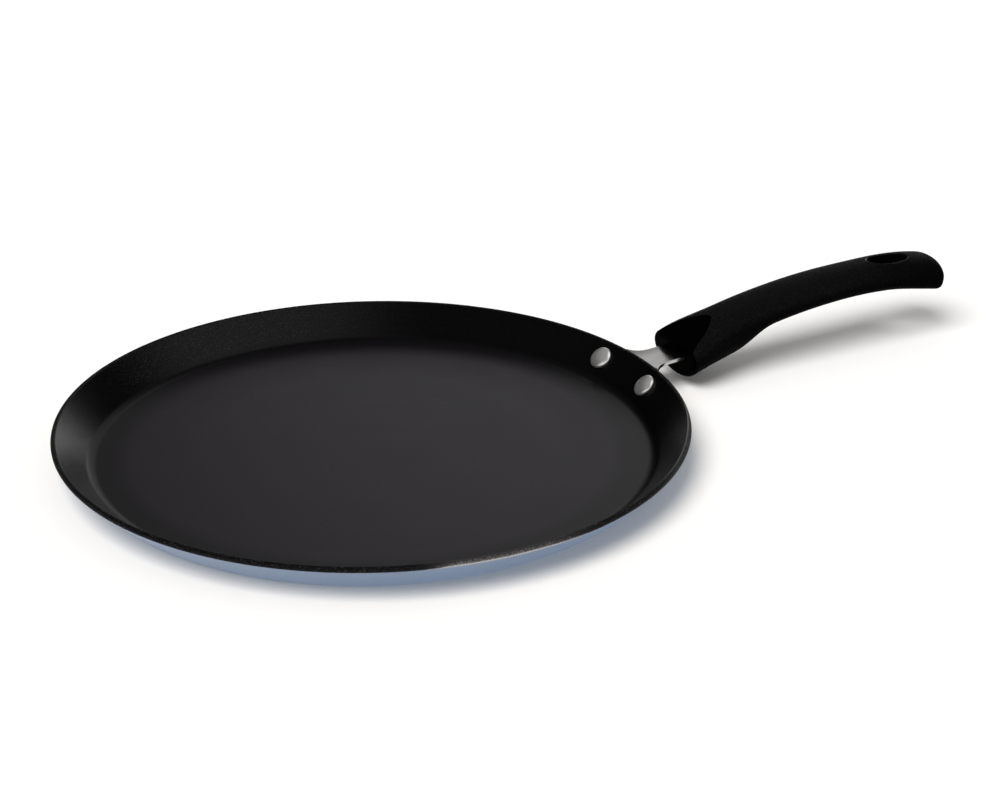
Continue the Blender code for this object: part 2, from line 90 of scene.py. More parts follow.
def tint(name, description, default):
    return FloatVectorProperty(name=name, description=description, default=default,
                               size=3, min=0.0, max=1.0, subtype="COLOR")


class TawaPanSettings(bpy.types.PropertyGroup):
    rim: length("Rim", "Diameter of the pan at its lip", PAN_HIGH[1] - PAN_LOW[1])
    height: length("Height", "From the base to the top of the lip", PAN_HIGH[2] - PAN_LOW[2])
    sheet: length("Sheet", "Thickness of the pressed disc", 0.0026)
    wall_angle: angle("Wall angle", "Slope of the wall from level", 44.0)
    corner: length("Corner", "Radius between the floor and the wall", 0.007)
    coating: tint("Coating", "The non-stick layer on the wall", (0.0004, 0.0003, 0.0004))
    # Painted light: the flat floor gets a lighter colour than the same coating on the wall
    floor_painted_light: tint("Coated floor", "The non-stick layer on the floor", (0.0080, 0.0060, 0.0084))
    enamel: tint("Enamel", "The outside of the wall and base", (0.20, 0.276, 0.412))
    bare: tint("Bare metal", "The turned face of the base", (0.66, 0.66, 0.67))


class TawaRivetSettings(bpy.types.PropertyGroup):
    spacing: length("Spacing", "Distance between the two rivets", 0.0374)
    drop: length("Drop", "From the lip down the wall to a rivet", 0.0082)
    shank: length("Shank", "Diameter of the shank", 0.006)
    head: length("Head", "Diameter of the head", 0.011)
    head_height: length("Head height", "How far the head stands off the wall", 0.0026)
    tail: length("Tail", "Diameter of the closed tail", 0.0094)
    tail_height: length("Tail height", "How far the tail stands off the foot", 0.0018)
    metal: tint("Metal", "Colour of the rivets", (0.90, 0.89, 0.87))


class TawaBracketSettings(bpy.types.PropertyGroup):
    sheet: length("Sheet", "Thickness of the stamping", 0.0015)
    ear: length("Ear", "Radius of the foot's ends round the rivets", 0.0066)
    shoulder: length("Shoulder", "How far above the rivets the ears end", 0.0036)
    fold: length("Fold", "Radius of the fold over the lip", 0.005)
    fold_below_lip: length("Fold below lip", "Where the fold starts on the slope", 0.0026)
    neck_angle: angle("Neck angle", "Rise of the neck from level", 3.5)
    taper: length("Taper", "Length over which the foot narrows to the neck", 0.0165)
    tang_width: length("Tang width", "Width of the neck and tang", 0.0176)
    tang_depth: length("Tang depth", "How deep the tang goes into the handle", 0.035)
    metal: tint("Metal", "Colour of the satin steel", (0.55, 0.54, 0.53))


class TawaGripSettings(bpy.types.PropertyGroup):
    mouth_gap: length("Mouth gap", "From the rim to the handle's mouth", 0.0190)
    reach: length("Reach", "From the mouth to the end, measured level", 0.1488)
    rise: length("Rise", "From the mouth up to the end", 0.0119)
    start_angle: angle("Start angle", "Slope of the handle at its mouth", 21.7)
    end_angle: angle("End angle", "Slope of the handle at its end", -13.3)
    mouth_half_width: length("Mouth half width", "Half the width at the mouth", 0.0178)
    waist_half_width: length("Waist half width", "Half the width of the slim part", 0.0137)
    end_half_width: length("End half width", "Half the width near the end", 0.0157)
    scoop: length("Scoop", "Length of the smooth scoop at the mouth", 0.0195)
    slot_length: length("Slot length", "Length of the hang slot", 0.0230)
    slot_width: length("Slot width", "Width of the hang slot", 0.0117)
    slot_from_end: length("Slot from end", "From the handle's end to the slot's middle", 0.0262)
    moulding: tint("Moulding", "Colour of the handle", (0.0026, 0.0025, 0.0026))


class TawaFixingSettings(bpy.types.PropertyGroup):
    from_mouth: length("From mouth", "Where the screw stands along the handle", 0.022)
    screw: length("Screw", "Diameter of the screw's shank", 0.004)
    head: length("Head", "Diameter of the screw's head", 0.0074)
    head_height: length("Head height", "Height of the screw's head", 0.0026)
    washer: length("Washer", "Diameter of the washer", 0.0082)
    washer_sheet: length("Washer sheet", "Thickness of the washer", 0.0008)
    insert: length("Insert", "Diameter of the brass insert", 0.0068)
    insert_length: length("Insert length", "Length of the brass insert", 0.0055)
    plating: tint("Plating", "Colour of the screw and washer", (0.60, 0.60, 0.58))
    brass: tint("Brass", "Colour of the insert", (0.72, 0.52, 0.22))


class TawaStudioSettings(bpy.types.PropertyGroup):
    azimuth: angle("Azimuth", "Turn of the camera about the pan", -30.0)
    elevation: angle("Elevation", "Height of the camera above level", 24.15)
    distance: length("Distance", "From the camera to the point it looks at", 1.158)
    aim: FloatVectorProperty(name="Aim", description="The point the camera looks at",
                             default=(0.07695, 0.0213, 0.0), size=3, subtype="TRANSLATION")
    lens: FloatProperty(name="Lens", description="Focal length", default=90.0,
                        unit="CAMERA")
    key: FloatProperty(name="Key", description="Strength of the key light", default=2.45)
    key_angle: angle("Key size", "How large the key light looks", 42.0)
    bounce: FloatProperty(name="Bounce", description="Soft light from below", default=0.85)
    sky: FloatProperty(name="Sky", description="Soft light from all round", default=0.46)
    floor: tint("Floor", "Colour of the floor", (0.98, 0.967, 0.95))


class TawaSettings(bpy.types.PropertyGroup):
    pan: PointerProperty(type=TawaPanSettings)
    rivet: PointerProperty(type=TawaRivetSettings)
    bracket: PointerProperty(type=TawaBracketSettings)
    grip: PointerProperty(type=TawaGripSettings)
    fixing: PointerProperty(type=TawaFixingSettings)
    studio: PointerProperty(type=TawaStudioSettings)


def radians(*degrees):
    """Angles in radians."""
    return tuple(math.radians(value) for value in degrees)


# Meshes from tables of points

def smooth_step(value):
    """Rises from 0 to 1 with a level start and end: 6x^5 - 15x^4 + 10x^3."""
    x = np.clip(value, 0.0, 1.0)
    return x * x * x * (x * (6.0 * x - 15.0) + 10.0)


def direction(turn):
    """A step of length 1 in a plane, at an angle from its first axis."""
    return np.array((math.cos(turn), math.sin(turn)))


def path_lengths(points):
    """The distance along a path to each of its points."""
    steps = np.linalg.norm(np.diff(points, axis=0), axis=1)
    return np.concatenate(([0.0], np.cumsum(steps)))


def seen_from(place, points):
    """Points in the numbers of a frame that stands elsewhere."""
    inverse = np.array(place.inverted())
    return points @ inverse[:3, :3].T + inverse[:3, 3]


def arc(centre, radius, start, end, steps):
    """Points of a circular arc in a plane, from one angle to another."""
    turn = np.linspace(start, end, steps + 1)[:, None]
    return np.asarray(centre) + radius * np.hstack((np.cos(turn), np.sin(turn)))


def straight(start, end, steps):
    """Points between two points, without the two themselves."""
    part = np.linspace(0.0, 1.0, steps + 1)[1:-1, None]
    return np.asarray(start) * (1.0 - part) + np.asarray(end) * part


def numbered(rings, first=0):
    """A table of the numbers of the points in a stack of rings."""
    rows, columns = rings.shape[:2]
    return first + np.arange(rows * columns).reshape(rows, columns)


def grid_cells(table, loop=False):
    """The four points of each cell between neighbouring rows of a table, whose rows are rings."""
    table = np.hstack((table, table[:, :1]))
    if loop:
        table = np.vstack((table, table[:1]))
    return np.stack((table[:-1, :-1], table[:-1, 1:], table[1:, 1:], table[1:, :-1]), axis=-1)


def grid_faces(table, loop=False):
    """Four-sided faces, one in each cell of a table of point numbers."""
    return grid_cells(table, loop).reshape(-1, 4)


def fan_faces(ring, centre):
    """Three-sided faces from a ring of point numbers to one point."""
    return np.stack((ring, np.roll(ring, -1), np.full(len(ring), centre)), axis=-1)


def skin_mesh(name, points, faces, marks=None, merge=0.0):
    """A mesh with its faces turned outwards, and smooth but for its creases.

    marks are two numbers for each point, kept in a UV map for the finish to read.
    Points closer than merge become one.
    """
    mesh = bpy.data.meshes.new(name)
    mesh.from_pydata(np.asarray(points).tolist(), [], faces)
    shell = bmesh.new()
    shell.from_mesh(mesh)
    if merge:
        bmesh.ops.remove_doubles(shell, verts=shell.verts, dist=merge)
    bmesh.ops.recalc_face_normals(shell, faces=shell.faces)
    shell.to_mesh(mesh)
    shell.free()
    if marks is not None:
        corners = np.empty(len(mesh.loops), np.int32)
        mesh.loops.foreach_get("vertex_index", corners)
        layer = mesh.uv_layers.new(name="marks")
        layer.data.foreach_set("uv", marks[corners].astype(np.float32).ravel())
    mesh.shade_smooth()
    mesh.set_sharp_from_angle(angle=CREASE)
    return mesh


def ring_skin(name, rings, loop=False, marks=None):
    """Joins rings of points. Each end is closed to its own middle, unless the rings loop round."""
    table = numbered(rings)
    points = rings.reshape(-1, 3)
    faces = grid_faces(table, loop).tolist()
    if not loop:
        for row in (0, len(rings) - 1):
            faces += fan_faces(table[row], len(points)).tolist()
            points = np.vstack((points, rings[row].mean(axis=0)))
            if marks is not None:
                marks = np.vstack((marks, marks[table[row, 0]]))
    return skin_mesh(name, points, faces, marks)


def turned_rings(profile, steps):
    """Turns a profile of (radius, height) about the Z axis: each of its points makes a ring."""
    turn = np.linspace(0.0, 2.0 * math.pi, steps, endpoint=False)
    radius, height = profile[:, :1], profile[:, 1:]
    return np.stack((radius * np.cos(turn), radius * np.sin(turn), height + 0.0 * turn), axis=-1)


def turned_mesh(name, profile, steps, place=None, loop=False):
    """A turned mesh, set in its place."""
    mesh = ring_skin(name, turned_rings(np.asarray(profile), steps), loop)
    if place is not None:
        mesh.transform(place)
    return mesh


def new_piece(name, mesh, finish, slot, *nodes):
    """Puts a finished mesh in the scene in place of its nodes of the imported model."""
    obj = bpy.data.objects.new(name, mesh)
    bpy.context.scene.collection.objects.link(obj)
    mesh.materials.clear()
    mesh.materials.append(finish)
    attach(obj, "root")
    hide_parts(*nodes)
    return obj


def cut(mesh, *cutters):
    """The mesh with the closed cutter meshes taken out of it, one after another."""
    scene = bpy.context.scene
    obj = bpy.data.objects.new(mesh.name, mesh)
    scene.collection.objects.link(obj)
    tools = []
    for cutter in cutters:
        tool = bpy.data.objects.new(cutter.name, cutter)
        scene.collection.objects.link(tool)
        tools.append(tool)
        step = obj.modifiers.new(cutter.name, "BOOLEAN")
        step.operation = "DIFFERENCE"
        step.solver = "EXACT"
        step.object = tool
    bpy.context.view_layer.update()
    result = bpy.data.meshes.new_from_object(
        obj.evaluated_get(bpy.context.evaluated_depsgraph_get()))
    result.name = mesh.name
    for item in [obj] + tools:
        used = item.data
        bpy.data.objects.remove(item, do_unlink=True)
        bpy.data.meshes.remove(used)
    result.set_sharp_from_angle(angle=CREASE)
    return result


# Shader maths

def joined(operation, reflected=False):
    """An operator's method, which adds a Math node. A reflected one swaps its two values."""
    def method(self, other):
        values = (other, self) if reflected else (self, other)
        return self.finish.math(operation, *values)
    return method


class Signal:
    """A value that a material works out at each point. Arithmetic on it adds Math nodes."""

    def __init__(self, finish, socket):
        self.finish = finish
        self.socket = socket

    __add__ = joined("ADD")
    __radd__ = joined("ADD", reflected=True)
    __sub__ = joined("SUBTRACT")
    __rsub__ = joined("SUBTRACT", reflected=True)
    __mul__ = joined("MULTIPLY")
    __rmul__ = joined("MULTIPLY", reflected=True)
    __pow__ = joined("POWER")

    def ramp(self, start, end):
        """Rises smoothly from 0 at one value to 1 at another."""
        return self.finish.node("ShaderNodeMapRange", {"interpolation_type": "SMOOTHSTEP"},
                                {"Value": self, "From Min": start, "From Max": end})

    def fall(self, start, end):
        """Falls smoothly from 1 at one value to 0 at another."""
        return 1.0 - self.ramp(start, end)

    def between(self, rise_start, rise_end, fall_start, fall_end):
        """Rises from 0 to 1 between two values, and falls back between two more."""
        return self.ramp(rise_start, rise_end) * self.fall(fall_start, fall_end)


class Finish:
    """The nodes of a new material or world."""

    def __init__(self, owner):
        self.owner = owner
        self.owner.use_nodes = True
        self.tree = self.owner.node_tree
        self.tree.nodes.clear()

    def node(self, kind, settings=None, sockets=None, output=0):
        """Adds a node: its settings first, then the values or links of its sockets."""
        node = self.tree.nodes.new(kind)
        for key, value in (settings or {}).items():
            setattr(node, key, value)
        for key, value in (sockets or {}).items():
            found = [item for item in node.inputs if key in (item.identifier, item.name)]
            socket = next((item for item in found if item.enabled), found[0])
            if isinstance(value, Signal):
                self.tree.links.new(value.socket, socket)
            else:
                socket.default_value = value
        return Signal(self, node.outputs[output])

    def math(self, operation, *values):
        """One step of arithmetic on one or two values."""
        keys = ("Value", "Value_001")
        return self.node("ShaderNodeMath", {"operation": operation}, dict(zip(keys, values)))

    def largest(self, first, *others):
        """The largest of some values."""
        for other in others:
            first = self.math("MAXIMUM", first, other)
        return first

    def rays(self, *kinds):
        """1 for the kinds of ray that are named, and 0 for the others."""
        return self.largest(*(self.node("ShaderNodeLightPath", output="Is %s Ray" % kind)
                              for kind in kinds))

    def place(self):
        """The point on the piece, in metres from the origin."""
        return self.node("ShaderNodeTexCoord", output="Object")

    def split(self, vector):
        """The three numbers of a vector."""
        parts = self.node("ShaderNodeSeparateXYZ", None, {"Vector": vector})
        outputs = parts.socket.node.outputs
        return tuple(Signal(self, outputs[axis]) for axis in range(3))

    def marks(self):
        """The two numbers that the piece's mesh keeps for its finish."""
        return self.split(self.node("ShaderNodeUVMap", {"uv_map": "marks"}))[:2]

    def stretched(self, vector, scale):
        """A point with each of its numbers multiplied."""
        return self.node("ShaderNodeVectorMath", {"operation": "MULTIPLY"},
                         {"Vector": vector, "Vector_001": scale})

    def noise(self, vector, size, detail=2.0, roughness=0.5):
        """Cloudy noise about 0 to 1, with features about as large as size in metres."""
        return self.node("ShaderNodeTexNoise", None, {
            "Vector": vector, "Scale": 1.0 / size, "Detail": detail, "Roughness": roughness})

    def mix(self, factor, first, second):
        """A colour between two."""
        first, second = (value if isinstance(value, Signal) else (*value, 1.0)
                         for value in (first, second))
        return self.node("ShaderNodeMix", {"data_type": "RGBA"}, {
            "Factor_Float": factor, "A_Color": first, "B_Color": second}, 2)

    def bump(self, height, depth, strength=1.0):
        """Tips the surface as if its height changed by the depth in metres."""
        return self.node("ShaderNodeBump", None, {
            "Strength": strength, "Distance": depth, "Height": height})

    def shader(self, sockets):
        return self.node("ShaderNodeBsdfPrincipled", None, sockets)

    def blend(self, factor, first, second):
        """One shader that turns into another."""
        return self.node("ShaderNodeMixShader", None,
                         {"Fac": factor, "Shader": first, "Shader_001": second})

    def done(self, shader, output="ShaderNodeOutputMaterial"):
        """Shows a shader, and gives back the material or world."""
        end = self.tree.nodes.new(output)
        self.tree.links.new(shader.socket, end.inputs["Surface"])
        return self.owner


# The finishes

# The bare turned face under the base: its radius, the width of its edge, its height above
# the stove and the pitch of its grooves
BASE_FACE_RADIUS = 0.104
BASE_FACE_EDGE = 0.0003
BASE_FACE_TOP = (0.0006, 0.0009)
BASE_GROOVE_PITCH = 0.0007

# The coated floor's lighter colour, which is painted light, ends just above the floor, and fades a
# little towards its edge as painted shade from the wall
FLOOR_LIGHT_TOP = (0.002602, 0.00265)
FLOOR_SHADED_EDGE = (0.104, 0.1165)

# Heights over which the wall's grain and its painted light set in
WALL_START = (0.0030, 0.0062)
PAINTED_LIGHT_HEIGHT = (0.0045, 0.0060)

# The sprayed-thin layer over the lip, back from its edge, and how far the inner edge of its painted
# sheen moves
LIP_BAND = 0.0043
LIP_BAND_SHIFT = 0.0018

# Bearings round the pan, from the handle towards +Y, over which each of these fades in
# and out: the wall's dense flecks, which are painted glints, its painted light, the lip's painted
# sheen and its painted highlight in front
GLINT_BEARINGS = radians(52.0, 92.0, 110.0, 138.0)
PAINTED_LIGHT_BEARINGS = radians(-98.0, -66.0, -52.0, -22.0)
SHEEN_BEARINGS = radians(-62.0, -46.0, -4.0, 10.0)
FRONT_HIGHLIGHT_BEARINGS = radians(-111.0, -103.0, -90.0, -74.0)

# Bearings over which the painted sheen's inner edge moves out, which makes it narrower
BAND_NARROWS = radians(-42.0, -14.0)

# Colours of the non-stick layer, from its darkest to the palest. The wall's lit colour and the
# lip's colours for its front, sheen, ridge, fringe and edge are painted light, the fleck colour is
# partly painted glints, and the specks are the layer's own
LIP_BLACK = (0.0015, 0.0014, 0.0016)
WALL_PAINTED_LIGHT = (0.0120, 0.0108, 0.0118)
WALL_FLECK_GLINT = (0.024, 0.023, 0.024)
LIP_FRONT_SHEEN = (0.026, 0.023, 0.023)
LIP_SHEEN = (0.030, 0.029, 0.030)
LIP_SPECK = (0.045, 0.045, 0.047)
LIP_RIDGE_HIGHLIGHT = (0.085, 0.082, 0.080)
LIP_FRINGE_HIGHLIGHT = (0.13, 0.122, 0.118)
LIP_EDGE_HIGHLIGHT = (0.56, 0.54, 0.525)


def times(colour, factor):
    """A colour with each of its numbers multiplied."""
    return tuple(factor * value for value in colour)


def lip_colour(finish, bearing, past_edge, specks, ragged):
    """The layer over the lip: specked, with a painted sheen and a painted highlight line on the
    right, and in front a painted sheen, a ragged painted fringe and a pale painted highlight at its
    edge.
    """
    place = finish.place()
    # Painted sheen over the lip in front
    front_highlight = bearing.between(*FRONT_HIGHLIGHT_BEARINGS)
    colour = finish.mix(front_highlight, LIP_BLACK, LIP_FRONT_SHEEN)
    colour = finish.mix(specks, colour, LIP_SPECK)

    # Painted sheen on the lip's right stretch, mottled, with a painted highlight line along its
    # inner edge
    from_band = past_edge - bearing.ramp(*BAND_NARROWS) * LIP_BAND_SHIFT + LIP_BAND
    sheen = bearing.between(*SHEEN_BEARINGS) * from_band.ramp(0.0, 0.0003)
    mottled = finish.noise(place, 0.00075, 2.0, 0.6).ramp(0.40, 0.56)
    colour = finish.mix(sheen * mottled, colour, LIP_SHEEN)
    colour = finish.mix(sheen * from_band.fall(0.0005, 0.0012), colour, LIP_RIDGE_HIGHLIGHT)

    # A ragged fringe and a pale line at the lip's edge in front, both painted highlights
    highlight_share = front_highlight.ramp(0.05, 0.3)
    highlight_fringe = past_edge + ragged * 0.0045 + (front_highlight - 1.0) * 0.0022
    colour = finish.mix(highlight_fringe.ramp(-0.0026, -0.0006) * highlight_share, colour, LIP_FRINGE_HIGHLIGHT)
    highlight_line = past_edge + ragged * 0.0010 + (front_highlight - 1.0) * 0.001
    return finish.mix(highlight_line.ramp(-0.0012, -0.0005) * highlight_share, colour, LIP_EDGE_HIGHLIGHT)


def pan_finish(pan):
    """Non-stick layer, enamel and bare metal, by the distance from the layer's edge."""
    finish = Finish(bpy.data.materials.new("pan coating and enamel"))
    place = finish.place()
    x, y, z = finish.split(place)
    radius = (x * x + y * y) ** 0.5
    bearing = finish.math("ARCTAN2", y, x)
    past_edge, _ = finish.marks()

    on_wall = z.ramp(*WALL_START)
    over_lip = (past_edge + LIP_BAND).ramp(0.0, 0.15 * LIP_BAND)
    grain = finish.noise(place, 0.00045, 3.0, 0.6)
    specks = finish.noise(place, 0.0006, 1.0, 0.5).ramp(0.60, 0.74) * on_wall
    # The coating's own flecks, made dense over the far left of the wall as painted glints
    flecks_and_glints = (finish.noise(place, 0.00042, 1.0, 0.5).ramp(0.54, 0.72) * on_wall
              * (bearing.between(*GLINT_BEARINGS) * 0.88 + 0.12))
    ragged = finish.noise(place, 0.0008, 3.0, 0.65) - 0.5
    # Painted light on the flat floor, weaker towards its edge as painted shade from the wall
    floor_light_share = z.fall(*FLOOR_LIGHT_TOP) * (1.0 - radius.ramp(*FLOOR_SHADED_EDGE) * 0.6)
    colour = finish.mix(floor_light_share, pan.coating, pan.floor_painted_light)
    # Painted light: a lighter stretch of the wall on the near right, where light falls on it
    colour = finish.mix(bearing.between(*PAINTED_LIGHT_BEARINGS) * z.ramp(*PAINTED_LIGHT_HEIGHT), colour, WALL_PAINTED_LIGHT)
    colour = finish.mix(flecks_and_glints, colour, WALL_FLECK_GLINT)
    colour = finish.mix(over_lip, colour, lip_colour(finish, bearing, past_edge, specks, ragged))
    cloud = finish.noise(place, 0.035, 2.0)
    around = finish.node("ShaderNodeTexNoise", {"noise_dimensions": "1D"}, {
        "W": radius, "Scale": 70.0, "Detail": 1.0, "Roughness": 0.5})
    relief = grain * (0.25 + on_wall * 0.75) + specks * 0.8 + flecks_and_glints * 0.5
    coating = finish.shader({
        "Base Color": colour, "Specular IOR Level": 0.1,
        "Roughness": 0.225 + around * 0.05 + cloud * 0.06 - on_wall * 0.03 + over_lip * 0.35,
        "Normal": finish.bump(relief, 0.00004, 0.5)})

    peel = finish.noise(place, 0.0016, 2.0)
    shade = finish.noise(place, 0.05, 0.0)
    enamel = finish.shader({
        "Base Color": finish.mix(shade * 0.3, pan.enamel, times(pan.enamel, 0.8)),
        "Roughness": 0.26 + peel * 0.06, "Specular IOR Level": 0.4,
        "Normal": finish.bump(peel, 0.00003, 0.3)})

    groove = finish.math("SINE", radius * (2.0 * math.pi / BASE_GROOVE_PITCH))
    haze = finish.noise(place, 0.012, 3.0)
    bare = finish.shader({
        "Base Color": finish.mix(haze * 0.5, pan.bare, times(pan.bare, 0.8)),
        "Metallic": 1.0, "Roughness": 0.26 + haze * 0.12,
        "Normal": finish.bump(groove, 0.00003, 0.5)})

    outside = (past_edge + ragged * 0.0014).ramp(-0.00015, 0.00035)
    turned_face = z.fall(*BASE_FACE_TOP) * radius.fall(
        BASE_FACE_RADIUS - BASE_FACE_EDGE, BASE_FACE_RADIUS)
    under = finish.blend(turned_face, enamel, bare)
    return finish.done(finish.blend(outside, coating, under))


def metal_finish(name, colour, roughness, streak=None, metallic=1.0):
    """Satin metal, with fine streaks along one axis, or an even grain."""
    finish = Finish(bpy.data.materials.new(name))
    place = finish.place()
    along = finish.stretched(place, streak) if streak else place
    line = finish.noise(along, 0.00025, 3.0, 0.6)
    haze = finish.noise(place, 0.006, 3.0)
    return finish.done(finish.shader({
        "Base Color": finish.mix(haze * 0.6 + line * 0.2, colour, times(colour, 0.7)),
        "Metallic": metallic,
        "Roughness": roughness - 0.06 + line * 0.06 + haze * 0.08,
        "Normal": finish.bump(line, 0.000008, 0.6)}))


# The moulding's deep black, as painted shade where the surface faces down and over the darker far
# stretch, and in the polished scoop
MOULDING_SHADE = (0.0004, 0.0001, 0.0006)
POLISH_COLOURS = ((0.0002, 0.0002, 0.0002), (0.0006, 0.0006, 0.0006))

# The handle's far stretch, which is darker, by its distance from the mouth
GRIP_FAR = (0.080, 0.145)

# The front face ends at this distance from the mouth
FRONT_FACE = (0.0006, 0.0011)


def grip_finish(grip):
    """Satin moulding with a fine grain, polished in the scoop and on the front face.

    Painted shade darkens the colour where the surface faces down, and the colour is darker towards
    the far end.
    The slot's top edge, which its mark tells, is burnished by the hook.
    """
    finish = Finish(bpy.data.materials.new("black moulding"))
    place = finish.place()
    along, inside = finish.marks()
    grain = finish.noise(finish.stretched(place, (1.0, 1.0, 0.6)), 0.0009, 2.0, 0.6)
    grain = grain.ramp(0.35, 0.65)
    cloud = finish.noise(place, 0.018, 3.0)
    scuff = finish.noise(finish.stretched(place, (0.15, 1.0, 1.0)), 0.0012, 3.0, 0.6)
    _, _, level = finish.split(finish.node("ShaderNodeNewGeometry", output="Normal"))
    # Painted shade where the surface faces down, and darker towards the far end
    painted_lightness = (1.0 - level.fall(-0.3, 0.7) * 0.74) * (1.0 - along.ramp(*GRIP_FAR) * 0.62)
    colour = finish.mix(cloud * 0.3 + grain * 0.6, grip.moulding, times(grip.moulding, 2.8))
    colour = finish.mix(1.0 - painted_lightness, colour, MOULDING_SHADE)
    satin = finish.shader({
        "Base Color": colour, "Roughness": 0.36 + cloud * 0.06 + scuff * 0.05,
        "Specular IOR Level": 0.004, "Normal": finish.bump(grain, 0.00030, 0.8)})
    polish = finish.shader({
        "Base Color": finish.mix(cloud * 0.5, *POLISH_COLOURS),
        "Roughness": 0.16 + scuff * 0.06, "Specular IOR Level": 0.004,
        "Normal": finish.bump(scuff, 0.000006, 0.4)})
    burnished = finish.shader({
        "Base Color": colour, "Roughness": 0.22 + scuff * 0.06, "Specular IOR Level": 0.13})
    polished = finish.largest(inside.ramp(-0.0001, 0.0001), along.fall(*FRONT_FACE))
    body = finish.blend(polished, satin, polish)
    return finish.done(finish.blend(along.ramp(0.5, 0.9), body, burnished))


# The floor is a little warmer under the pan, which evens out the blue that the enamel throws.
# The warmth fades out between these two distances from the pan's middle
FLOOR_WARM = (0.118, 0.175)
FLOOR_WARMTH = (1.0, 0.965, 0.91)


def floor_finish(colour):
    """A plain pale floor, which isn't there from below or for the object's own soft light."""
    finish = Finish(bpy.data.materials.new("studio floor"))
    below = finish.node("ShaderNodeNewGeometry", output="Backfacing")
    gone = finish.largest(finish.rays("Diffuse", "Shadow"), below)
    x, y, _ = finish.split(finish.place())
    near = ((x * x + y * y) ** 0.5).fall(*FLOOR_WARM)
    warm = tuple(np.multiply(FLOOR_WARMTH, colour))
    top = finish.node("ShaderNodeBsdfDiffuse", None, {"Color": finish.mix(near, colour, warm)})
    clear = finish.node("ShaderNodeBsdfTransparent")
    return finish.done(finish.blend(gone, top, clear))


# The pan

# How many parts a straight run, the corner's round and the lip's round are cut into
RUN_STEPS = 16
CORNER_STEPS = 18
LIP_STEPS = 24


class PanShape:
    """The pan's section, as points (radius, height), from its settings."""

    def __init__(self, pan):
        self.sheet = pan.sheet
        self.wall = pan.wall_angle
        self.corner = pan.corner
        self.up = direction(self.wall)
        self.inward = np.array((-self.up[1], self.up[0]))
        self.lip_radius = pan.sheet / 2
        self.lip = np.array((pan.rim / 2 - self.lip_radius, pan.height - self.lip_radius))

    def wall_point(self, drop):
        """A point of the inner wall, a distance down the slope from the lip's round."""
        return self.lip + self.lip_radius * self.inward - self.up * drop

    def corner_arc(self, point, height, radius):
        """The round between a level face and the slope through a point, from the face up."""
        foot = point - self.up * ((point[1] - height) / math.sin(self.wall))
        centre = (foot[0] - radius * math.tan(self.wall / 2), height + radius)
        return arc(centre, radius, -math.pi / 2, self.wall - math.pi / 2, CORNER_STEPS)

    def profile(self):
        """From near the floor's centre, up the wall, over the lip, down and back under the base.

        The second result tells how far along the profile each point lies past the edge of
        the non-stick layer, which ends with the lip's round.
        """
        inner = self.corner_arc(self.wall_point(0.0), self.sheet, self.corner)
        outer_start = self.lip - self.lip_radius * self.inward
        outer = self.corner_arc(outer_start, 0.0, self.corner + self.sheet)[::-1]
        lip = arc(self.lip, self.lip_radius, self.wall + math.pi / 2,
                  self.wall - math.pi / 2, LIP_STEPS)
        coated = np.vstack((straight((0.0, self.sheet), inner[0], RUN_STEPS), inner,
                            straight(inner[-1], lip[0], RUN_STEPS), lip))
        points = np.vstack((coated, straight(lip[-1], outer[0], RUN_STEPS), outer,
                            straight(outer[-1], (0.0, 0.0), RUN_STEPS)))
        travelled = path_lengths(points)
        return points, travelled - travelled[len(coated) - 1]

    def rivet_frames(self, rivet):
        """Where each rivet stands on the inner wall: a frame whose Z points off the wall."""
        radius, height = self.wall_point(rivet.drop)
        half_angle = math.asin(rivet.spacing / 2 / radius)
        seat = Matrix.Translation((radius, 0.0, height)) @ Matrix.Rotation(-self.wall, 4, "Y")
        return {side: Matrix.Rotation(sign * half_angle, 4, "Z") @ seat
                for side, sign in (("left", 1.0), ("right", -1.0))}


def bar(name, radius, low, high, place):
    """A plain round bar between two heights of a frame."""
    return turned_mesh(name, ((radius, high), (radius, low)), SMALL_STEPS, place)


def rivet_holes(tawa, low, high):
    """The bars that cut the rivets' holes, between two heights off the inner wall."""
    return [bar("hole " + side, tawa.rivet.shank / 2 + CLEARANCE, low, high, place)
            for side, place in PanShape(tawa.pan).rivet_frames(tawa.rivet).items()]


def make_pan(tawa):
    """The turned disc, with holes for the rivets."""
    pan = tawa.pan
    profile, past_edge = PanShape(pan).profile()
    marks = np.zeros((len(profile) * PAN_STEPS, 2))
    marks[:, 0] = np.repeat(past_edge, PAN_STEPS)
    disc = ring_skin("pan", turned_rings(profile, PAN_STEPS), marks=marks)
    mesh = cut(disc, *rivet_holes(tawa, -2 * pan.sheet, pan.sheet))
    new_piece("tawa_pan", mesh, pan_finish(pan), "pan", "pan_body")


# The rivets

# The head's short side, its roundness, the round of its edge, and the gap under it
RIVET_RIM = 0.00055
RIVET_POWER = 2.15
RIVET_EDGE = 0.00022
RIVET_SEAT = 0.00012

# How finely the domes of head and tail and the round edge are cut
HEAD_STEPS = 26
TAIL_STEPS = 14
RIVET_EDGE_STEPS = 5


def pillow(radius, base, height, steps):
    """A low dome on (radius, height), a short side and a round edge, from the crown down.

    The dome is a superellipse of power p: the sine of a turn to the power 2/p across, and
    its cosine to the power 2/p up.
    """
    turn = np.linspace(0.0, math.pi / 2, steps + 1)[1:]
    power = 2.0 / RIVET_POWER
    rise = (height - RIVET_RIM) * np.cos(turn) ** power
    dome = np.column_stack((radius * np.sin(turn) ** power, base + RIVET_RIM + rise))
    edge = arc((radius - RIVET_EDGE, base + RIVET_EDGE), RIVET_EDGE, 0.0, -math.pi / 2,
               RIVET_EDGE_STEPS)
    return np.vstack((dome, edge))


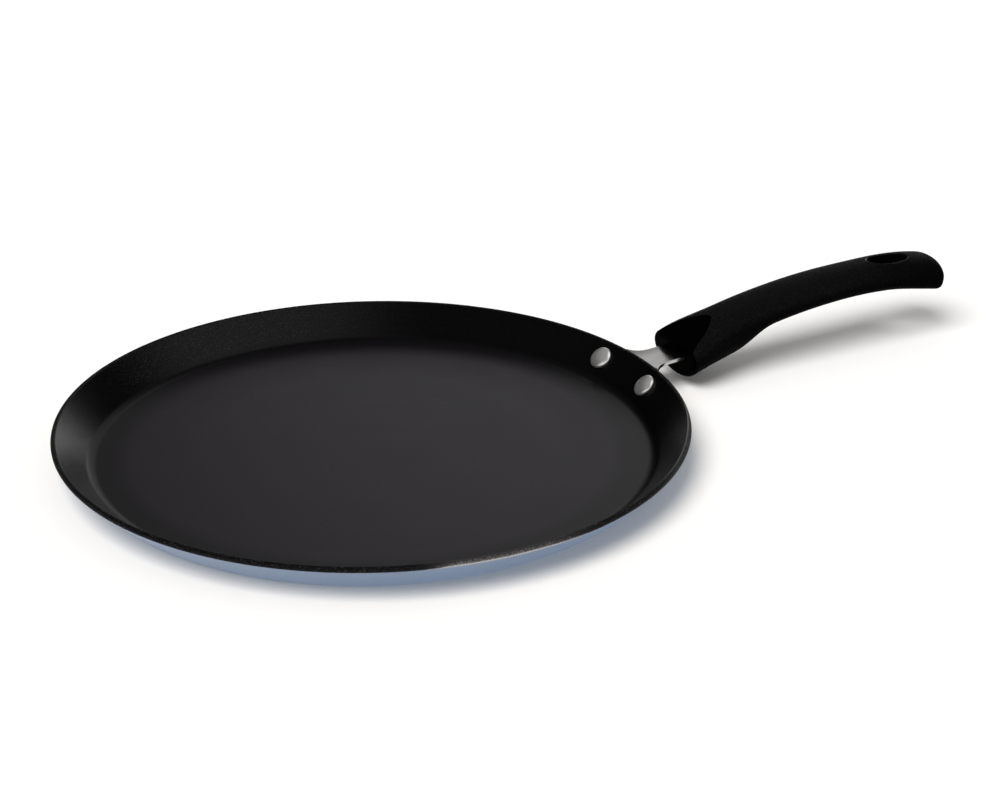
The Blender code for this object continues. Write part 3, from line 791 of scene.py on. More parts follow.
def make_rivets(tawa):
    """Head, shank and closed tail, turned about each rivet's own axis."""
    rivet = tawa.rivet
    foot = -(tawa.pan.sheet + tawa.bracket.sheet + 2 * CLEARANCE)
    head = pillow(rivet.head / 2, RIVET_SEAT, rivet.head_height, HEAD_STEPS)
    tail = pillow(rivet.tail / 2, 0.0, rivet.tail_height, TAIL_STEPS)
    tail[:, 1] = foot - tail[:, 1]
    shank = np.array(((rivet.shank / 2, RIVET_SEAT), (rivet.shank / 2, foot)))
    profile = np.vstack((head, shank, tail[::-1]))
    finish = metal_finish("rivet metal", rivet.metal, 0.29, metallic=0.9)
    for side, place in PanShape(tawa.pan).rivet_frames(rivet).items():
        mesh = turned_mesh("rivet " + side, profile, RIVET_STEPS, place)
        new_piece("tawa_rivet_" + side, mesh, finish, "rivet", "rivet_" + side)


# The line of the bracket and handle, in the plane y = 0, as points (x, z)

# The pulls of the handle's curve at its two ends, and where the tang's curve heads for
GRIP_PULLS = (0.052, 0.038)
TANG_BEND_START = 0.008

# How finely the handle's line and the bracket's foot, fold, neck and tang are cut
LINE_SAMPLES = 1200
FOOT_SAMPLES = 60
FOLD_STEPS = 39
NECK_STEPS = 60
TANG_SAMPLES = 80


class HandleLine:
    """The centre line from the foot on the wall to the handle's end."""

    def __init__(self, tawa):
        pan, rivet, bracket, grip = tawa.pan, tawa.rivet, tawa.bracket, tawa.grip
        self.rivet, self.bracket, self.grip = rivet, bracket, grip
        shape = PanShape(pan)
        stand_off = pan.sheet + CLEARANCE + bracket.sheet / 2
        self.up, self.wall = shape.up, shape.wall
        self.foot = shape.wall_point(rivet.drop) - shape.inward * stand_off
        self.foot_rise = rivet.drop - bracket.fold_below_lip
        self.fold_centre = (self.foot + shape.up * self.foot_rise
                            - shape.inward * bracket.fold)
        neck = direction(bracket.neck_angle + math.pi / 2)
        self.neck_start = self.fold_centre + neck * bracket.fold
        mouth_x = pan.rim / 2 + grip.mouth_gap
        rise = (mouth_x - self.neck_start[0]) * math.tan(bracket.neck_angle)
        self.mouth = np.array((mouth_x, self.neck_start[1] + rise))
        self.sample_grip()
        self.sample_bracket()

    def sample_grip(self):
        """A cubic curve from the mouth to the end, its slopes set by two pulls."""
        start = self.mouth
        end = start + np.array((self.grip.reach, self.grip.rise))
        first = start + direction(self.grip.start_angle) * GRIP_PULLS[0]
        second = end - direction(self.grip.end_angle) * GRIP_PULLS[1]
        t = np.linspace(0.0, 1.0, LINE_SAMPLES)[:, None]
        self.points = ((1 - t) ** 3 * start + 3 * (1 - t) ** 2 * t * first
                       + 3 * (1 - t) * t ** 2 * second + t ** 3 * end)
        slope = ((1 - t) ** 2 * (first - start) + 2 * (1 - t) * t * (second - first)
                 + t ** 2 * (end - second))
        self.angles = np.arctan2(slope[:, 1], slope[:, 0])
        self.along = path_lengths(self.points)
        self.length = float(self.along[-1])

    def at(self, distance):
        """x, z and slope of the handle's line at distances from the mouth."""
        return (np.interp(distance, self.along, self.points[:, 0]),
                np.interp(distance, self.along, self.points[:, 1]),
                np.interp(distance, self.along, self.angles))

    def frame(self, distance):
        """A frame on the handle's line, with X along it and Z away from the belly."""
        x, z, turn = (float(value) for value in self.at(distance))
        return Matrix.Translation((x, 0.0, z)) @ Matrix.Rotation(-turn, 4, "Y")

    def sample_bracket(self):
        """The bracket's middle line: up the slope, round the fold, along neck and tang.

        The tang is a curve of the second degree from the mouth to the tip on the handle's line.
        """
        climb = np.linspace(-self.bracket.ear, self.foot_rise, FOOT_SAMPLES)[:, None]
        foot = self.foot + self.up * climb
        fold = arc(self.fold_centre, self.bracket.fold, self.wall + math.pi / 2,
                   self.bracket.neck_angle + math.pi / 2, FOLD_STEPS)[1:]
        neck = straight(self.neck_start, self.mouth, NECK_STEPS)
        tip = np.array(self.at(self.bracket.tang_depth)[:2])
        bend = self.mouth + direction(self.bracket.neck_angle) * TANG_BEND_START
        t = np.linspace(0.0, 1.0, TANG_SAMPLES)[:, None]
        tang = self.mouth * (1 - t) ** 2 + bend * 2 * t * (1 - t) + tip * t ** 2
        self.middle = np.vstack((foot, fold, neck, tang))
        in_fold = smooth_step(np.linspace(0.0, 1.0, FOLD_STEPS + 1)[1:])
        self.neck_share = np.concatenate((np.zeros(len(foot)), in_fold,
                                          np.ones(len(neck) + len(tang))))
        self.climbs = path_lengths(self.middle) - self.bracket.ear
        self.mouth_climb = float(self.climbs[-len(tang)])
        self.tip_climb = float(self.climbs[-1])


# The bracket

# The neck's shallow trough, the nose of the tang and the round of the edges
TANG_TROUGH = 0.0005
TANG_NOSE = 0.004
TANG_NOSE_ROUND = 0.96
BRACKET_EDGE = 0.00032

# How far apart two points are taken to find a slope
SLOPE_STEP = 0.0002

# How finely the outline's ear, side, nose, tip and foot are cut, and the sheet inside it
EAR_SAMPLES = 26
SIDE_SAMPLES = 150
NOSE_SAMPLES = 14
TIP_STEPS = 24
FOOT_STEPS = 44
EDGE_SAMPLES = 6
FLAT_STEPS = 11

# The spine starts this far above the foot's lower edge, in rounds of the edge, and its
# points closer than this become one
SPINE_START = 8
SPINE_MERGE = 0.00001


def bracket_half_width(line, climb):
    """Round ears beside the rivets, a neck that narrows in a cubic curve, and a round nose."""
    bracket, half_gap = line.bracket, line.rivet.spacing / 2
    ear = np.sqrt(np.clip(bracket.ear ** 2 - climb ** 2, 0.0, None)) + half_gap
    shoulder = math.sqrt(bracket.ear ** 2 - bracket.shoulder ** 2) + half_gap
    fade = np.clip(1.0 - (climb - bracket.shoulder) / bracket.taper, 0.0, 1.0) ** 3
    neck = bracket.tang_width / 2 + (shoulder - bracket.tang_width / 2) * fade
    into_nose = np.clip((climb - (line.tip_climb - TANG_NOSE)) / TANG_NOSE, 0.0, 1.0)
    nose = TANG_NOSE * (1.0 - np.sqrt(1.0 - (TANG_NOSE_ROUND * into_nose) ** 2))
    return np.where(climb < bracket.shoulder, ear, neck - nose)


def bracket_sheet(line, y, climb):
    """The middle surface: on the wall's cone at the foot, a shallow trough on the neck."""
    x = np.interp(climb, line.climbs, line.middle[:, 0])
    z = np.interp(climb, line.climbs, line.middle[:, 1])
    neck = np.interp(climb, line.climbs, line.neck_share)
    on_wall = np.sqrt(x ** 2 - y ** 2)
    trough = neck * TANG_TROUGH * (y / (line.bracket.tang_width / 2)) ** 2
    return np.stack((on_wall * (1.0 - neck) + x * neck, y, z + trough), axis=-1)


def bracket_point(line, y, climb, lift):
    """Points a lift off the middle surface along its normal, the cross product of its slopes."""
    step = SLOPE_STEP
    inside = np.clip(climb, line.climbs[0] + step, line.tip_climb - step)
    along = bracket_sheet(line, y, inside + step) - bracket_sheet(line, y, inside - step)
    across = bracket_sheet(line, y + step, inside) - bracket_sheet(line, y - step, inside)
    normal = np.cross(along, across)
    normal /= np.linalg.norm(normal, axis=-1, keepdims=True)
    return bracket_sheet(line, y, climb) + normal * lift


def bracket_outline(line):
    """The flat outline as a closed loop of (y, climb): up one side, across the nose, and back."""
    ear = -line.bracket.ear * np.cos(np.linspace(0.0, math.pi / 2, EAR_SAMPLES))
    side = np.linspace(0.0, line.tip_climb - TANG_NOSE, SIDE_SAMPLES)[1:]
    turn = np.linspace(0.0, math.pi / 2, NOSE_SAMPLES)[1:]
    nose = line.tip_climb - TANG_NOSE * (1.0 - np.sin(turn))
    climb = np.concatenate((ear, side, nose))
    right = np.column_stack((bracket_half_width(line, climb), climb))
    left = right[::-1] * (-1.0, 1.0)
    return np.vstack((right, straight(right[-1], left[0], TIP_STEPS),
                      left, straight(left[-1], right[0], FOOT_STEPS)))


def make_bracket(tawa):
    """Rings from the spine out to the outline over the top, and back to the spine underneath.

    Each section says how far its ring is drawn in from the outline, how much of the way it
    then goes to the spine, and its lift. Near the edge they follow a quarter circle.
    """
    bracket, fixing = tawa.bracket, tawa.fixing
    line = HandleLine(tawa)
    outline = bracket_outline(line)
    tangent = np.roll(outline, -1, axis=0) - np.roll(outline, 1, axis=0)
    inward = np.column_stack((-tangent[:, 1], tangent[:, 0]))
    inward /= np.linalg.norm(inward, axis=1, keepdims=True)
    spine = np.column_stack((np.zeros(len(outline)), np.clip(
        outline[:, 1], SPINE_START * BRACKET_EDGE - bracket.ear, line.tip_climb - TANG_NOSE)))

    half = bracket.sheet / 2
    sections = [(BRACKET_EDGE * (1.0 - math.sin(turn)), 0.0,
                 half - BRACKET_EDGE * (1.0 - math.cos(turn)))
                for turn in np.linspace(math.pi / 2, 0.0, EDGE_SAMPLES)]
    sections += [(BRACKET_EDGE, part, half)
                 for part in np.linspace(0.0, 1.0, FLAT_STEPS + 1)[1:]]
    under = [(edge, part, -lift) for edge, part, lift in sections]
    rings = []
    for edge, part, lift in sections[::-1] + [(0.0, 0.0, 0.0)] + under:
        flat = (outline + inward * edge) * (1.0 - part) + spine * part
        rings.append(bracket_point(line, flat[:, 0], flat[:, 1], lift))
    rings = np.stack(rings)
    sheet = skin_mesh("bracket", rings.reshape(-1, 3), grid_faces(numbered(rings)).tolist(),
                      merge=SPINE_MERGE)

    holes = rivet_holes(tawa, -tawa.pan.sheet - 4 * bracket.sheet, -tawa.pan.sheet / 2)
    holes.append(bar("tang hole", fixing.screw / 2 + CLEARANCE, -MOUTH_BELLY, MOUTH_CROWN,
                     line.frame(fixing.from_mouth)))
    finish = metal_finish("satin steel", bracket.metal, 0.18, (0.12, 1.0, 1.0))
    new_piece("tawa_bracket", cut(sheet, *holes), finish, "bracket", "handle_bracket")


# The handle

# The front face is square to this slope, and the sections turn to the line's own slope
# over a short way
MOUTH_TILT = math.radians(8.0)
MOUTH_TILT_FADE = 0.0145

# The rounds of the mouth's and the end's edges: along, across and up
MOUTH_FILLET = 0.0018
END_ROUND = (0.0030, 0.0026, 0.0016)
END_TRIM = 0.0004

# Widths along the handle, then the heights of its crown above the line and of its belly below
WAIST_START = 0.036
FLARE_LENGTH = 0.060
MOUTH_CROWN = 0.0080
GRIP_CROWN = 0.0076
END_CROWN = 0.00909
CROWN_FADE = 0.090
MOUTH_BELLY = 0.0115
BLOCK_BELLY = 0.0142
BLOCK_SWELL = 0.030
GRIP_BELLY = 0.0080
END_BELLY = 0.0059
BLOCK_STEP = (0.0264, 0.0534)

# Powers of the section's superellipses
MOUTH_CROWN_POWER = 2.5
GRIP_CROWN_POWER = 2.1
BELLY_POWER = 2.0
END_BELLY_POWER = 3.2
END_POWER_FADE = 0.034
CROWN_POWER_FADE = 0.070

# The scoop's flat, its sharp little step and its outline
SCOOP_DEPTH = 0.0018
SCOOP_BLEND = 0.0006
SCOOP_STEP = 0.0004
SCOOP_STEP_WIDTH = 0.0014
SCOOP_HALF = 0.0154
SCOOP_NARROWING = 0.45
SCOOP_SIDES = 0.011
SCOOP_REACH = 0.0222

# The round of the slot's edge, and the spare round it in the grid, in rounds of the edge
SLOT_EDGE = 0.0011
WINDOW_SPARE = (2.6, 2.4)

# How many rings the flat ends, the way to the slot, its rounded edge and its wall have
CAP_RINGS = 7
APPROACH_RINGS = 6
BEND_RINGS = 8
WALL_RINGS = 7

# The tunnel's rings that a hook burnishes, on the slot's upper edge
BURNISHED = slice(8, 11)

# How many sections the mouth's round, the body and the end's round have
STATIONS = (9, 235, 15)

# How many times the skin over a place is tried again
SKIN_TRIES = 8

# The moulding under the screw's seat, how far the socket runs out through the mouth, and how
# many points it has across and along
SEAT_WALL = 0.003
SOCKET_OVERRUN = 0.0076
SOCKET_SAMPLES = (9, 60)


class GripShape:
    """The handle's surface around its line."""

    def __init__(self, line):
        self.line = line
        self.grip = line.grip

    def flare(self, d):
        """Rises from 0 to 1 along the handle's last stretch."""
        return smooth_step(1.0 - (self.line.length - d) / FLARE_LENGTH)

    def half_width(self, d):
        """Wide at the mouth, drawn in to the waist, and wider again at the end."""
        waist = self.grip.waist_half_width
        mouth_share = 1.0 - smooth_step(d / WAIST_START)
        return (waist + (self.grip.mouth_half_width - waist) * mouth_share
                + (self.grip.end_half_width - waist) * self.flare(d))

    def crown(self, d):
        """How high the top lies over the line: at the mouth, the slim part and the end."""
        mouth_share = 1.0 - smooth_step(d / CROWN_FADE)
        return (GRIP_CROWN + (MOUTH_CROWN - GRIP_CROWN) * mouth_share
                + (END_CROWN - GRIP_CROWN) * self.flare(d))

    def belly(self, d):
        """The thick front block swells from the mouth, then steps up to the slim part."""
        block = MOUTH_BELLY + (BLOCK_BELLY - MOUTH_BELLY) * smooth_step(d / BLOCK_SWELL)
        slim = GRIP_BELLY + (END_BELLY - GRIP_BELLY) * d / self.line.length
        step = smooth_step((d - BLOCK_STEP[0]) / (BLOCK_STEP[1] - BLOCK_STEP[0]))
        return block * (1.0 - step) + slim * step

    def crown_power(self, d):
        """The top is squarer at the mouth."""
        return (MOUTH_CROWN_POWER + (GRIP_CROWN_POWER - MOUTH_CROWN_POWER)
                * smooth_step(d / CROWN_POWER_FADE))

    def belly_power(self, d):
        """The belly is an ellipse, and squarer at the handle's end."""
        end_share = smooth_step(1.0 - (self.line.length - d) / END_POWER_FADE)
        return BELLY_POWER + (END_BELLY_POWER - BELLY_POWER) * end_share

    def lift(self, d, across, up):
        """A point in the section at a distance d, from its numbers across and up."""
        x, z, turn = self.line.at(d)
        turn = MOUTH_TILT + (turn - MOUTH_TILT) * smooth_step(d / MOUTH_TILT_FADE)
        return np.stack((x - up * np.sin(turn), across + 0.0 * x, z + up * np.cos(turn)), axis=-1)

    def ring(self, d, inset_width, inset_height, turn):
        """Half superellipses above and below the line, drawn in by the insets."""
        cosine, sine = np.cos(turn), np.sin(turn)
        upper = sine > 0.0
        power = 2.0 / np.where(upper, self.crown_power(d), self.belly_power(d))
        width = self.half_width(d) - inset_width
        depth = np.where(upper, self.crown(d), self.belly(d)) - inset_height
        return self.lift(d, width * np.sign(cosine) * np.abs(cosine) ** power,
                         depth * np.sign(sine) * np.abs(sine) ** power)

    def skin(self, d, across, side):
        """The top (side 1) or belly (side -1) at places across: the superellipse solved for up."""
        if side > 0:
            power, depth = self.crown_power(d), self.crown(d)
        else:
            power, depth = self.belly_power(d), self.belly(d)
        part = np.clip(np.abs(across) / self.half_width(d), 0.0, 1.0)
        return self.lift(d, across, side * depth * (1.0 - part ** power) ** (1.0 / power))

    def skin_over(self, seat, x, across, side):
        """The skin at places (x, across) of the slot's own frame, found in a few steps."""
        origin = np.array(seat.translation)
        axis = np.array(seat.col[0][:3])
        d = self.slot_at() + x
        for _ in range(SKIN_TRIES):
            d = d + x - (self.skin(d, across, side) - origin) @ axis
        return self.skin(d, across, side)

    def slot_at(self):
        """The slot's middle, as a distance from the mouth."""
        return self.line.length - self.grip.slot_from_end

    def scoop_plane(self):
        """A point and the upward normal of the flat that shaves the crown at the mouth."""
        x, z, turn = self.line.at(self.grip.scoop)
        low = self.crown(0.0) - SCOOP_DEPTH
        high = self.crown(self.grip.scoop)
        front = self.line.mouth + low * direction(MOUTH_TILT + math.pi / 2)
        back = np.array((x, z)) + high * direction(turn + math.pi / 2)
        slope = (back - front) / np.linalg.norm(back - front)
        return np.array((front[0], 0.0, front[1])), np.array((-slope[1], 0.0, slope[0]))

    def scoop_outline(self, d, points):
        """How far a point of the top lies inside the scoop's outline, seen square to its flat.

        The outline is a tongue: sides that narrow evenly from the mouth, rounded at the far
        end as half an ellipse. The value is that of the ellipse's equation, scaled to a length.
        """
        x, z, turn = self.line.at(d)
        up = (points[:, 2] - z) * np.cos(turn) - (points[:, 0] - x) * np.sin(turn)
        front, normal = self.scoop_plane()
        along = (points - front) @ np.array((normal[2], 0.0, -normal[0]))
        wide = SCOOP_HALF - SCOOP_NARROWING * np.clip(along, -SCOOP_SIDES, SCOOP_REACH)
        beyond = np.clip(along - SCOOP_SIDES, 0.0, None) / (SCOOP_REACH - SCOOP_SIDES)
        inside = (1.0 - beyond ** 2 - (points[:, 1] / wide) ** 2) * wide / 2
        return np.where((up > 0.0) & (d < 2 * self.grip.scoop), inside, -SCOOP_HALF)

    def scooped(self, points, inside):
        """Presses points above the scoop's flat down to it, and the outline's inside a little more.

        With h the height above the flat and k the blend, the push is (h + k)^2 / 4k near
        the flat's edge and h beyond it.
        """
        front, normal = self.scoop_plane()
        height = (points - front) @ normal
        k = SCOOP_BLEND
        push = np.where(height > k, height, np.clip(height + k, 0.0, None) ** 2 / (4.0 * k))
        push = push + SCOOP_STEP * smooth_step(inside / SCOOP_STEP_WIDTH)
        return points - normal * push[..., None]


def grip_stations(shape):
    """Sections along the handle: distance from the mouth, and what their edge is drawn in by."""
    turn = np.linspace(0.0, math.pi / 2, STATIONS[0])
    inset = MOUTH_FILLET * (1.0 - np.sin(turn))
    mouth = np.column_stack((MOUTH_FILLET * (1.0 - np.cos(turn)), inset, inset))
    body_end = shape.line.length - END_ROUND[0] - END_TRIM
    body = np.linspace(MOUTH_FILLET, body_end, STATIONS[1])[1:]
    body = np.column_stack((body, 0.0 * body, 0.0 * body))
    turn = np.linspace(0.0, math.pi / 2, STATIONS[2])[1:]
    end = np.column_stack((body_end + END_ROUND[0] * np.sin(turn),
                           END_ROUND[1] * (1.0 - np.cos(turn)),
                           END_ROUND[2] * (1.0 - np.cos(turn))))
    return np.vstack((mouth, body, end))


def slot_window(shape, stations):
    """The first and last rows and columns of the window left in the grid for the slot."""
    grip = shape.grip
    reach = grip.slot_length / 2 + WINDOW_SPARE[0] * SLOT_EDGE
    ends = np.array((shape.slot_at() - reach, shape.slot_at() + reach))
    first, last = CAP_RINGS + np.searchsorted(stations[:, 0], ends)
    wide = grip.slot_width / 2 + WINDOW_SPARE[1] * SLOT_EDGE
    sine = (wide / grip.end_half_width) ** (GRIP_CROWN_POWER / 2)
    spread = math.ceil(math.asin(min(1.0, sine)) / (2 * math.pi / GRIP_COLUMNS))
    quarter = GRIP_COLUMNS // 4
    return int(first) - 1, int(last), quarter - spread, quarter + spread


def slot_tunnel(shape, windows):
    """Rings from the upper window's edge into the slot, through it, and out to the lower one.

    Each ring outside the slot lies on the skin, part of the way from its window's outline to
    the slot's ellipse. The slot's own edge is a quarter circle.
    """
    seat = shape.line.frame(shape.slot_at())
    upward = np.array(seat.col[2][:3])
    half_length, half_width = shape.grip.slot_length / 2, shape.grip.slot_width / 2
    flat = {side: seen_from(seat, points)[:, :2] for side, points in windows.items()}
    phase = np.arctan2(flat[1][:, 1] / half_width, flat[1][:, 0] / half_length)

    def ellipse(grow):
        """The slot's outline, larger all round by a length."""
        return np.column_stack(((half_length + grow) * np.cos(phase),
                                (half_width + grow) * np.sin(phase)))

    rings = {1: [], -1: []}
    for side, found in rings.items():
        for part in np.linspace(0.0, 1.0, APPROACH_RINGS + 2)[1:-1]:
            place = flat[side] * (1.0 - part) + ellipse(SLOT_EDGE) * part
            found.append(shape.skin_over(seat, place[:, 0], place[:, 1], side))
        for bend in np.linspace(0.0, math.pi / 2, BEND_RINGS):
            place = ellipse(SLOT_EDGE * (1.0 - math.sin(bend)))
            skin = shape.skin_over(seat, place[:, 0], place[:, 1], side)
            found.append(skin - side * upward * SLOT_EDGE * (1.0 - math.cos(bend)))
    wall = [rings[1][-1] * (1.0 - part) + rings[-1][-1] * part
            for part in np.linspace(0.0, 1.0, WALL_RINGS + 2)[1:-1]]
    return np.stack(rings[1] + wall + rings[-1][::-1])


def grip_skin(shape):
    """The handle's closed surface, with the slot's tunnel let into the grid of sections.

    Two windows are left out of the grid, over and under the slot, and the tunnel's rings
    join their edges.
    """
    stations = grip_stations(shape)
    d, inset_width, inset_height = (stations[:, i][:, None] for i in range(3))
    turn = np.linspace(0.0, 2.0 * math.pi, GRIP_COLUMNS, endpoint=False)[None, :]
    body = shape.ring(d, inset_width, inset_height, turn)

    def cap(ring, centre):
        """Rings that shrink to a flat end's middle."""
        size = np.linspace(1.0, 0.0, CAP_RINGS + 2)[1:-1, None, None]
        return centre + (ring - centre) * size

    ends = [body[0].mean(axis=0), body[-1].mean(axis=0)]
    grid = np.concatenate((cap(body[0], ends[0])[::-1], body, cap(body[-1], ends[1])))
    table = numbered(grid)
    points = grid.reshape(-1, 3)
    along = np.concatenate((np.zeros(CAP_RINGS), stations[:, 0],
                            np.full(CAP_RINGS, shape.line.length)))

    first, last, start, stop = slot_window(shape, stations)
    rows, columns = np.arange(first, last), np.arange(start, stop)
    loop_rows = np.concatenate((np.full(len(columns), first), rows,
                                np.full(len(columns), last), rows[::-1] + 1))
    loop_columns = np.concatenate((columns, np.full(len(rows), stop),
                                   columns[::-1] + 1, np.full(len(rows), start)))
    window = {1: table[loop_rows, loop_columns],
              -1: table[loop_rows, -loop_columns % GRIP_COLUMNS]}
    tunnel = slot_tunnel(shape, {side: points[edge] for side, edge in window.items()})
    tunnel_table = numbered(tunnel, len(points))

    cells = grid_cells(table)
    keep = np.ones(cells.shape[:2], bool)
    keep[first:last, start:stop] = False
    keep[first:last, GRIP_COLUMNS - stop:GRIP_COLUMNS - start] = False
    faces = cells[keep].tolist()
    faces += grid_faces(np.vstack((window[1], tunnel_table, window[-1]))).tolist()
    points = np.vstack((points, tunnel.reshape(-1, 3), *ends))
    faces += fan_faces(table[0], len(points) - 2).tolist()
    faces += fan_faces(table[-1], len(points) - 1).tolist()

    along = np.concatenate((np.repeat(along, GRIP_COLUMNS),
                            np.full(tunnel_table.size, shape.slot_at()),
                            (0.0, shape.line.length)))
    inside = shape.scoop_outline(along, points)
    points = shape.scooped(points, inside)
    along[tunnel_table[BURNISHED]] = 1.0
    return without_loose(skin_mesh("grip", points, faces, np.column_stack((along, inside))))


def without_loose(mesh):
    """Takes out points that no face uses."""
    shell = bmesh.new()
    shell.from_mesh(mesh)
    loose = [vert for vert in shell.verts if not vert.link_faces]
    bmesh.ops.delete(shell, geom=loose, context="VERTS")
    shell.to_mesh(mesh)
    shell.free()
    return mesh


def socket_cutter(line):
    """The tang's own shape, larger by the clearance and run out through the mouth."""
    half = line.bracket.sheet / 2 + CLEARANCE
    wide = line.bracket.tang_width / 2 + CLEARANCE
    start = line.mouth_climb - SOCKET_OVERRUN
    y, climb = np.meshgrid(np.linspace(-wide, wide, SOCKET_SAMPLES[0]),
                           np.linspace(start, line.tip_climb, SOCKET_SAMPLES[1]))
    top = bracket_point(line, y, climb, half)
    under = bracket_point(line, y, climb, -half)
    rings = np.concatenate((top, under[:, ::-1]), axis=1)
    onward = rings[-1:] - rings[-2:-1]
    onward /= np.linalg.norm(onward, axis=-1, keepdims=True)
    return ring_skin("tang socket", np.concatenate((rings, rings[-1:] + onward * CLEARANCE)))


def screw_heights(line, fixing):
    """Heights on the screw's axis of its seat and of the insert's two ends."""
    x, z = line.middle.T
    local = seen_from(line.frame(fixing.from_mouth), np.column_stack((x, 0.0 * x, z)))
    height = float(np.interp(0.0, local[:, 0], local[:, 2]))
    half_socket = line.bracket.sheet / 2 + CLEARANCE
    low = height + half_socket
    return height - half_socket - SEAT_WALL, low, low + fixing.insert_length


def make_grip(tawa):
    """The moulding, with the tang's socket, and the way for the screw and its insert."""
    fixing = tawa.fixing
    line = HandleLine(tawa)
    seat, low, high = screw_heights(line, fixing)
    place = line.frame(fixing.from_mouth)
    below = -2 * BLOCK_BELLY
    mesh = cut(
        grip_skin(GripShape(line)),
        socket_cutter(line),
        bar("counterbore", fixing.washer / 2 + CLEARANCE, below, seat, place),
        bar("screw way", fixing.screw / 2 + CLEARANCE, below, low, place),
        bar("insert bed", fixing.insert / 2 + CLEARANCE, low - tawa.bracket.sheet / 2,
            high + CLEARANCE, place))
    new_piece("tawa_grip", mesh, grip_finish(tawa.grip), "grip", "handle_grip")


# The screw, washer and insert

# The small edges of turned parts, the slot's width and depth, how far the insert reaches past
# the screw's tip, and how finely the head's dome is cut
SMALL_EDGE = 0.00015
SCREW_SLOT = (0.001, 0.0011)
SCREW_TIP_INSET = 0.0006
SCREW_DOME_SAMPLES = 14


def softened(profile, edge=SMALL_EDGE):
    """A closed profile with each corner cut by a small edge, as a turned part has."""
    points = np.asarray(profile, float)
    before = np.roll(points, 1, axis=0) - points
    after = np.roll(points, -1, axis=0) - points
    before /= np.linalg.norm(before, axis=1, keepdims=True)
    after /= np.linalg.norm(after, axis=1, keepdims=True)
    return np.stack((points + before * edge, points + after * edge), axis=1).reshape(-1, 2)


def slot_cutter(reach, bottom, place):
    """A narrow box across the screw's head, as deep above the head's bottom as below it."""
    corners = np.array(((1, 1), (-1, 1), (-1, -1), (1, -1))) * (reach, SCREW_SLOT[0] / 2)
    box = np.stack([np.column_stack((corners, np.full(4, height)))
                    for height in (bottom - SCREW_SLOT[1], bottom + SCREW_SLOT[1])])
    mesh = ring_skin("screw slot", box)
    mesh.transform(place)
    return mesh


def make_fixings(tawa):
    """A low domed screw with a slot, a plain washer, and a waisted brass insert."""
    fixing = tawa.fixing
    line = HandleLine(tawa)
    seat, low, high = screw_heights(line, fixing)
    place = line.frame(fixing.from_mouth)
    plating = metal_finish("zinc plating", fixing.plating, 0.30)
    brass = metal_finish("brass", fixing.brass, 0.30)

    head_top = seat - fixing.washer_sheet - 2 * CLEARANCE
    shank, head, half = fixing.screw / 2, fixing.head / 2, fixing.head_height / 2
    tip = high - SCREW_TIP_INSET
    turn = np.linspace(math.pi / 2, 0.0, SCREW_DOME_SAMPLES)[:-1]
    dome = np.column_stack((head * np.sin(turn), head_top - half - half * np.cos(turn)))
    profile = np.vstack((
        ((shank / 2, tip), (shank * 0.75, tip), (shank, tip - shank / 4), (shank, head_top)),
        ((head - SMALL_EDGE, head_top), (head, head_top - SMALL_EDGE)), dome))
    screw = turned_mesh("screw", profile, SMALL_STEPS, place)
    screw = cut(screw, slot_cutter(fixing.head, head_top - fixing.head_height, place))
    new_piece("tawa_screw", screw, plating, "screw", "grip_screw")

    top, edge, hole = seat - CLEARANCE, fixing.washer / 2, shank + CLEARANCE
    under = top - fixing.washer_sheet
    ring = ((edge, top), (edge, under), (hole, under), (hole, top))
    washer = turned_mesh("washer", softened(ring), SMALL_STEPS, place, loop=True)
    new_piece("tawa_washer", washer, plating, "screw", "screw_washer")

    outer = fixing.insert / 2
    waist = outer - (outer - hole) / 3
    third = (high - low) / 3
    bush = ((outer, high), (outer, high - third), (waist, high - third), (waist, low + third),
            (outer, low + third), (outer, low), (hole, low), (hole, high))
    insert = turned_mesh("insert", softened(bush, SMALL_EDGE / 2), SMALL_STEPS, place, loop=True)
    new_piece("tawa_insert", insert, brass, "insert", "threaded_insert")


# The studio

# The parts of the studio by their bearing from straight ahead of the camera, over which
# each fades in and out, and the height at which it ends. First a pale screen behind the pan
SCREEN = radians(-16.0, 0.0, 23.0, 35.0)
SCREEN_TOP = radians(29.0, 42.0)
SCREEN_LEVEL = 0.70

# The brightest part, low on the right, that the left wall shows
GLOW = radians(2.0, 14.0, 25.0, 36.0)
GLOW_TOP = radians(5.0, 21.0)

# A band of light at floor height, darker round one bearing
HORIZON = radians(1.0, 8.0)
BLIND_BEARING = math.radians(-65.0)
BLIND_EDGE = (0.55, 0.85)
BLIND_DEPTH = 0.95

# A window behind the camera, from a share of straight back, and the light from below
WINDOW_EDGE = (-0.6, -0.35)
WINDOW_TOP = radians(28.0, 40.0)
BELOW = radians(-4.0, -0.5)

# A large soft box overhead: its middle, and the cosines of its outer and inner edge
BOX_BEARING = math.radians(105.0)
BOX_HEIGHT = math.radians(60.0)
BOX_EDGE = (math.cos(math.radians(38.0)), math.cos(math.radians(16.0)))
BOX_LEVEL = 1.05

# What is left of the light between them, low and high, and where it rises
DARK_LEVEL = (0.02, 0.24)
DARK_RISE = radians(22.0, 50.0)

# The even sky turns from bounced light to open light about level
SKY_TURN = (-0.05, 0.05)

# The floor starts inside the pan's base, just under it
FLOOR_RADII = (0.112, 0.3, 1.0, 6.0)
FLOOR_DROP = 0.0001
FLOOR_STEPS = 128


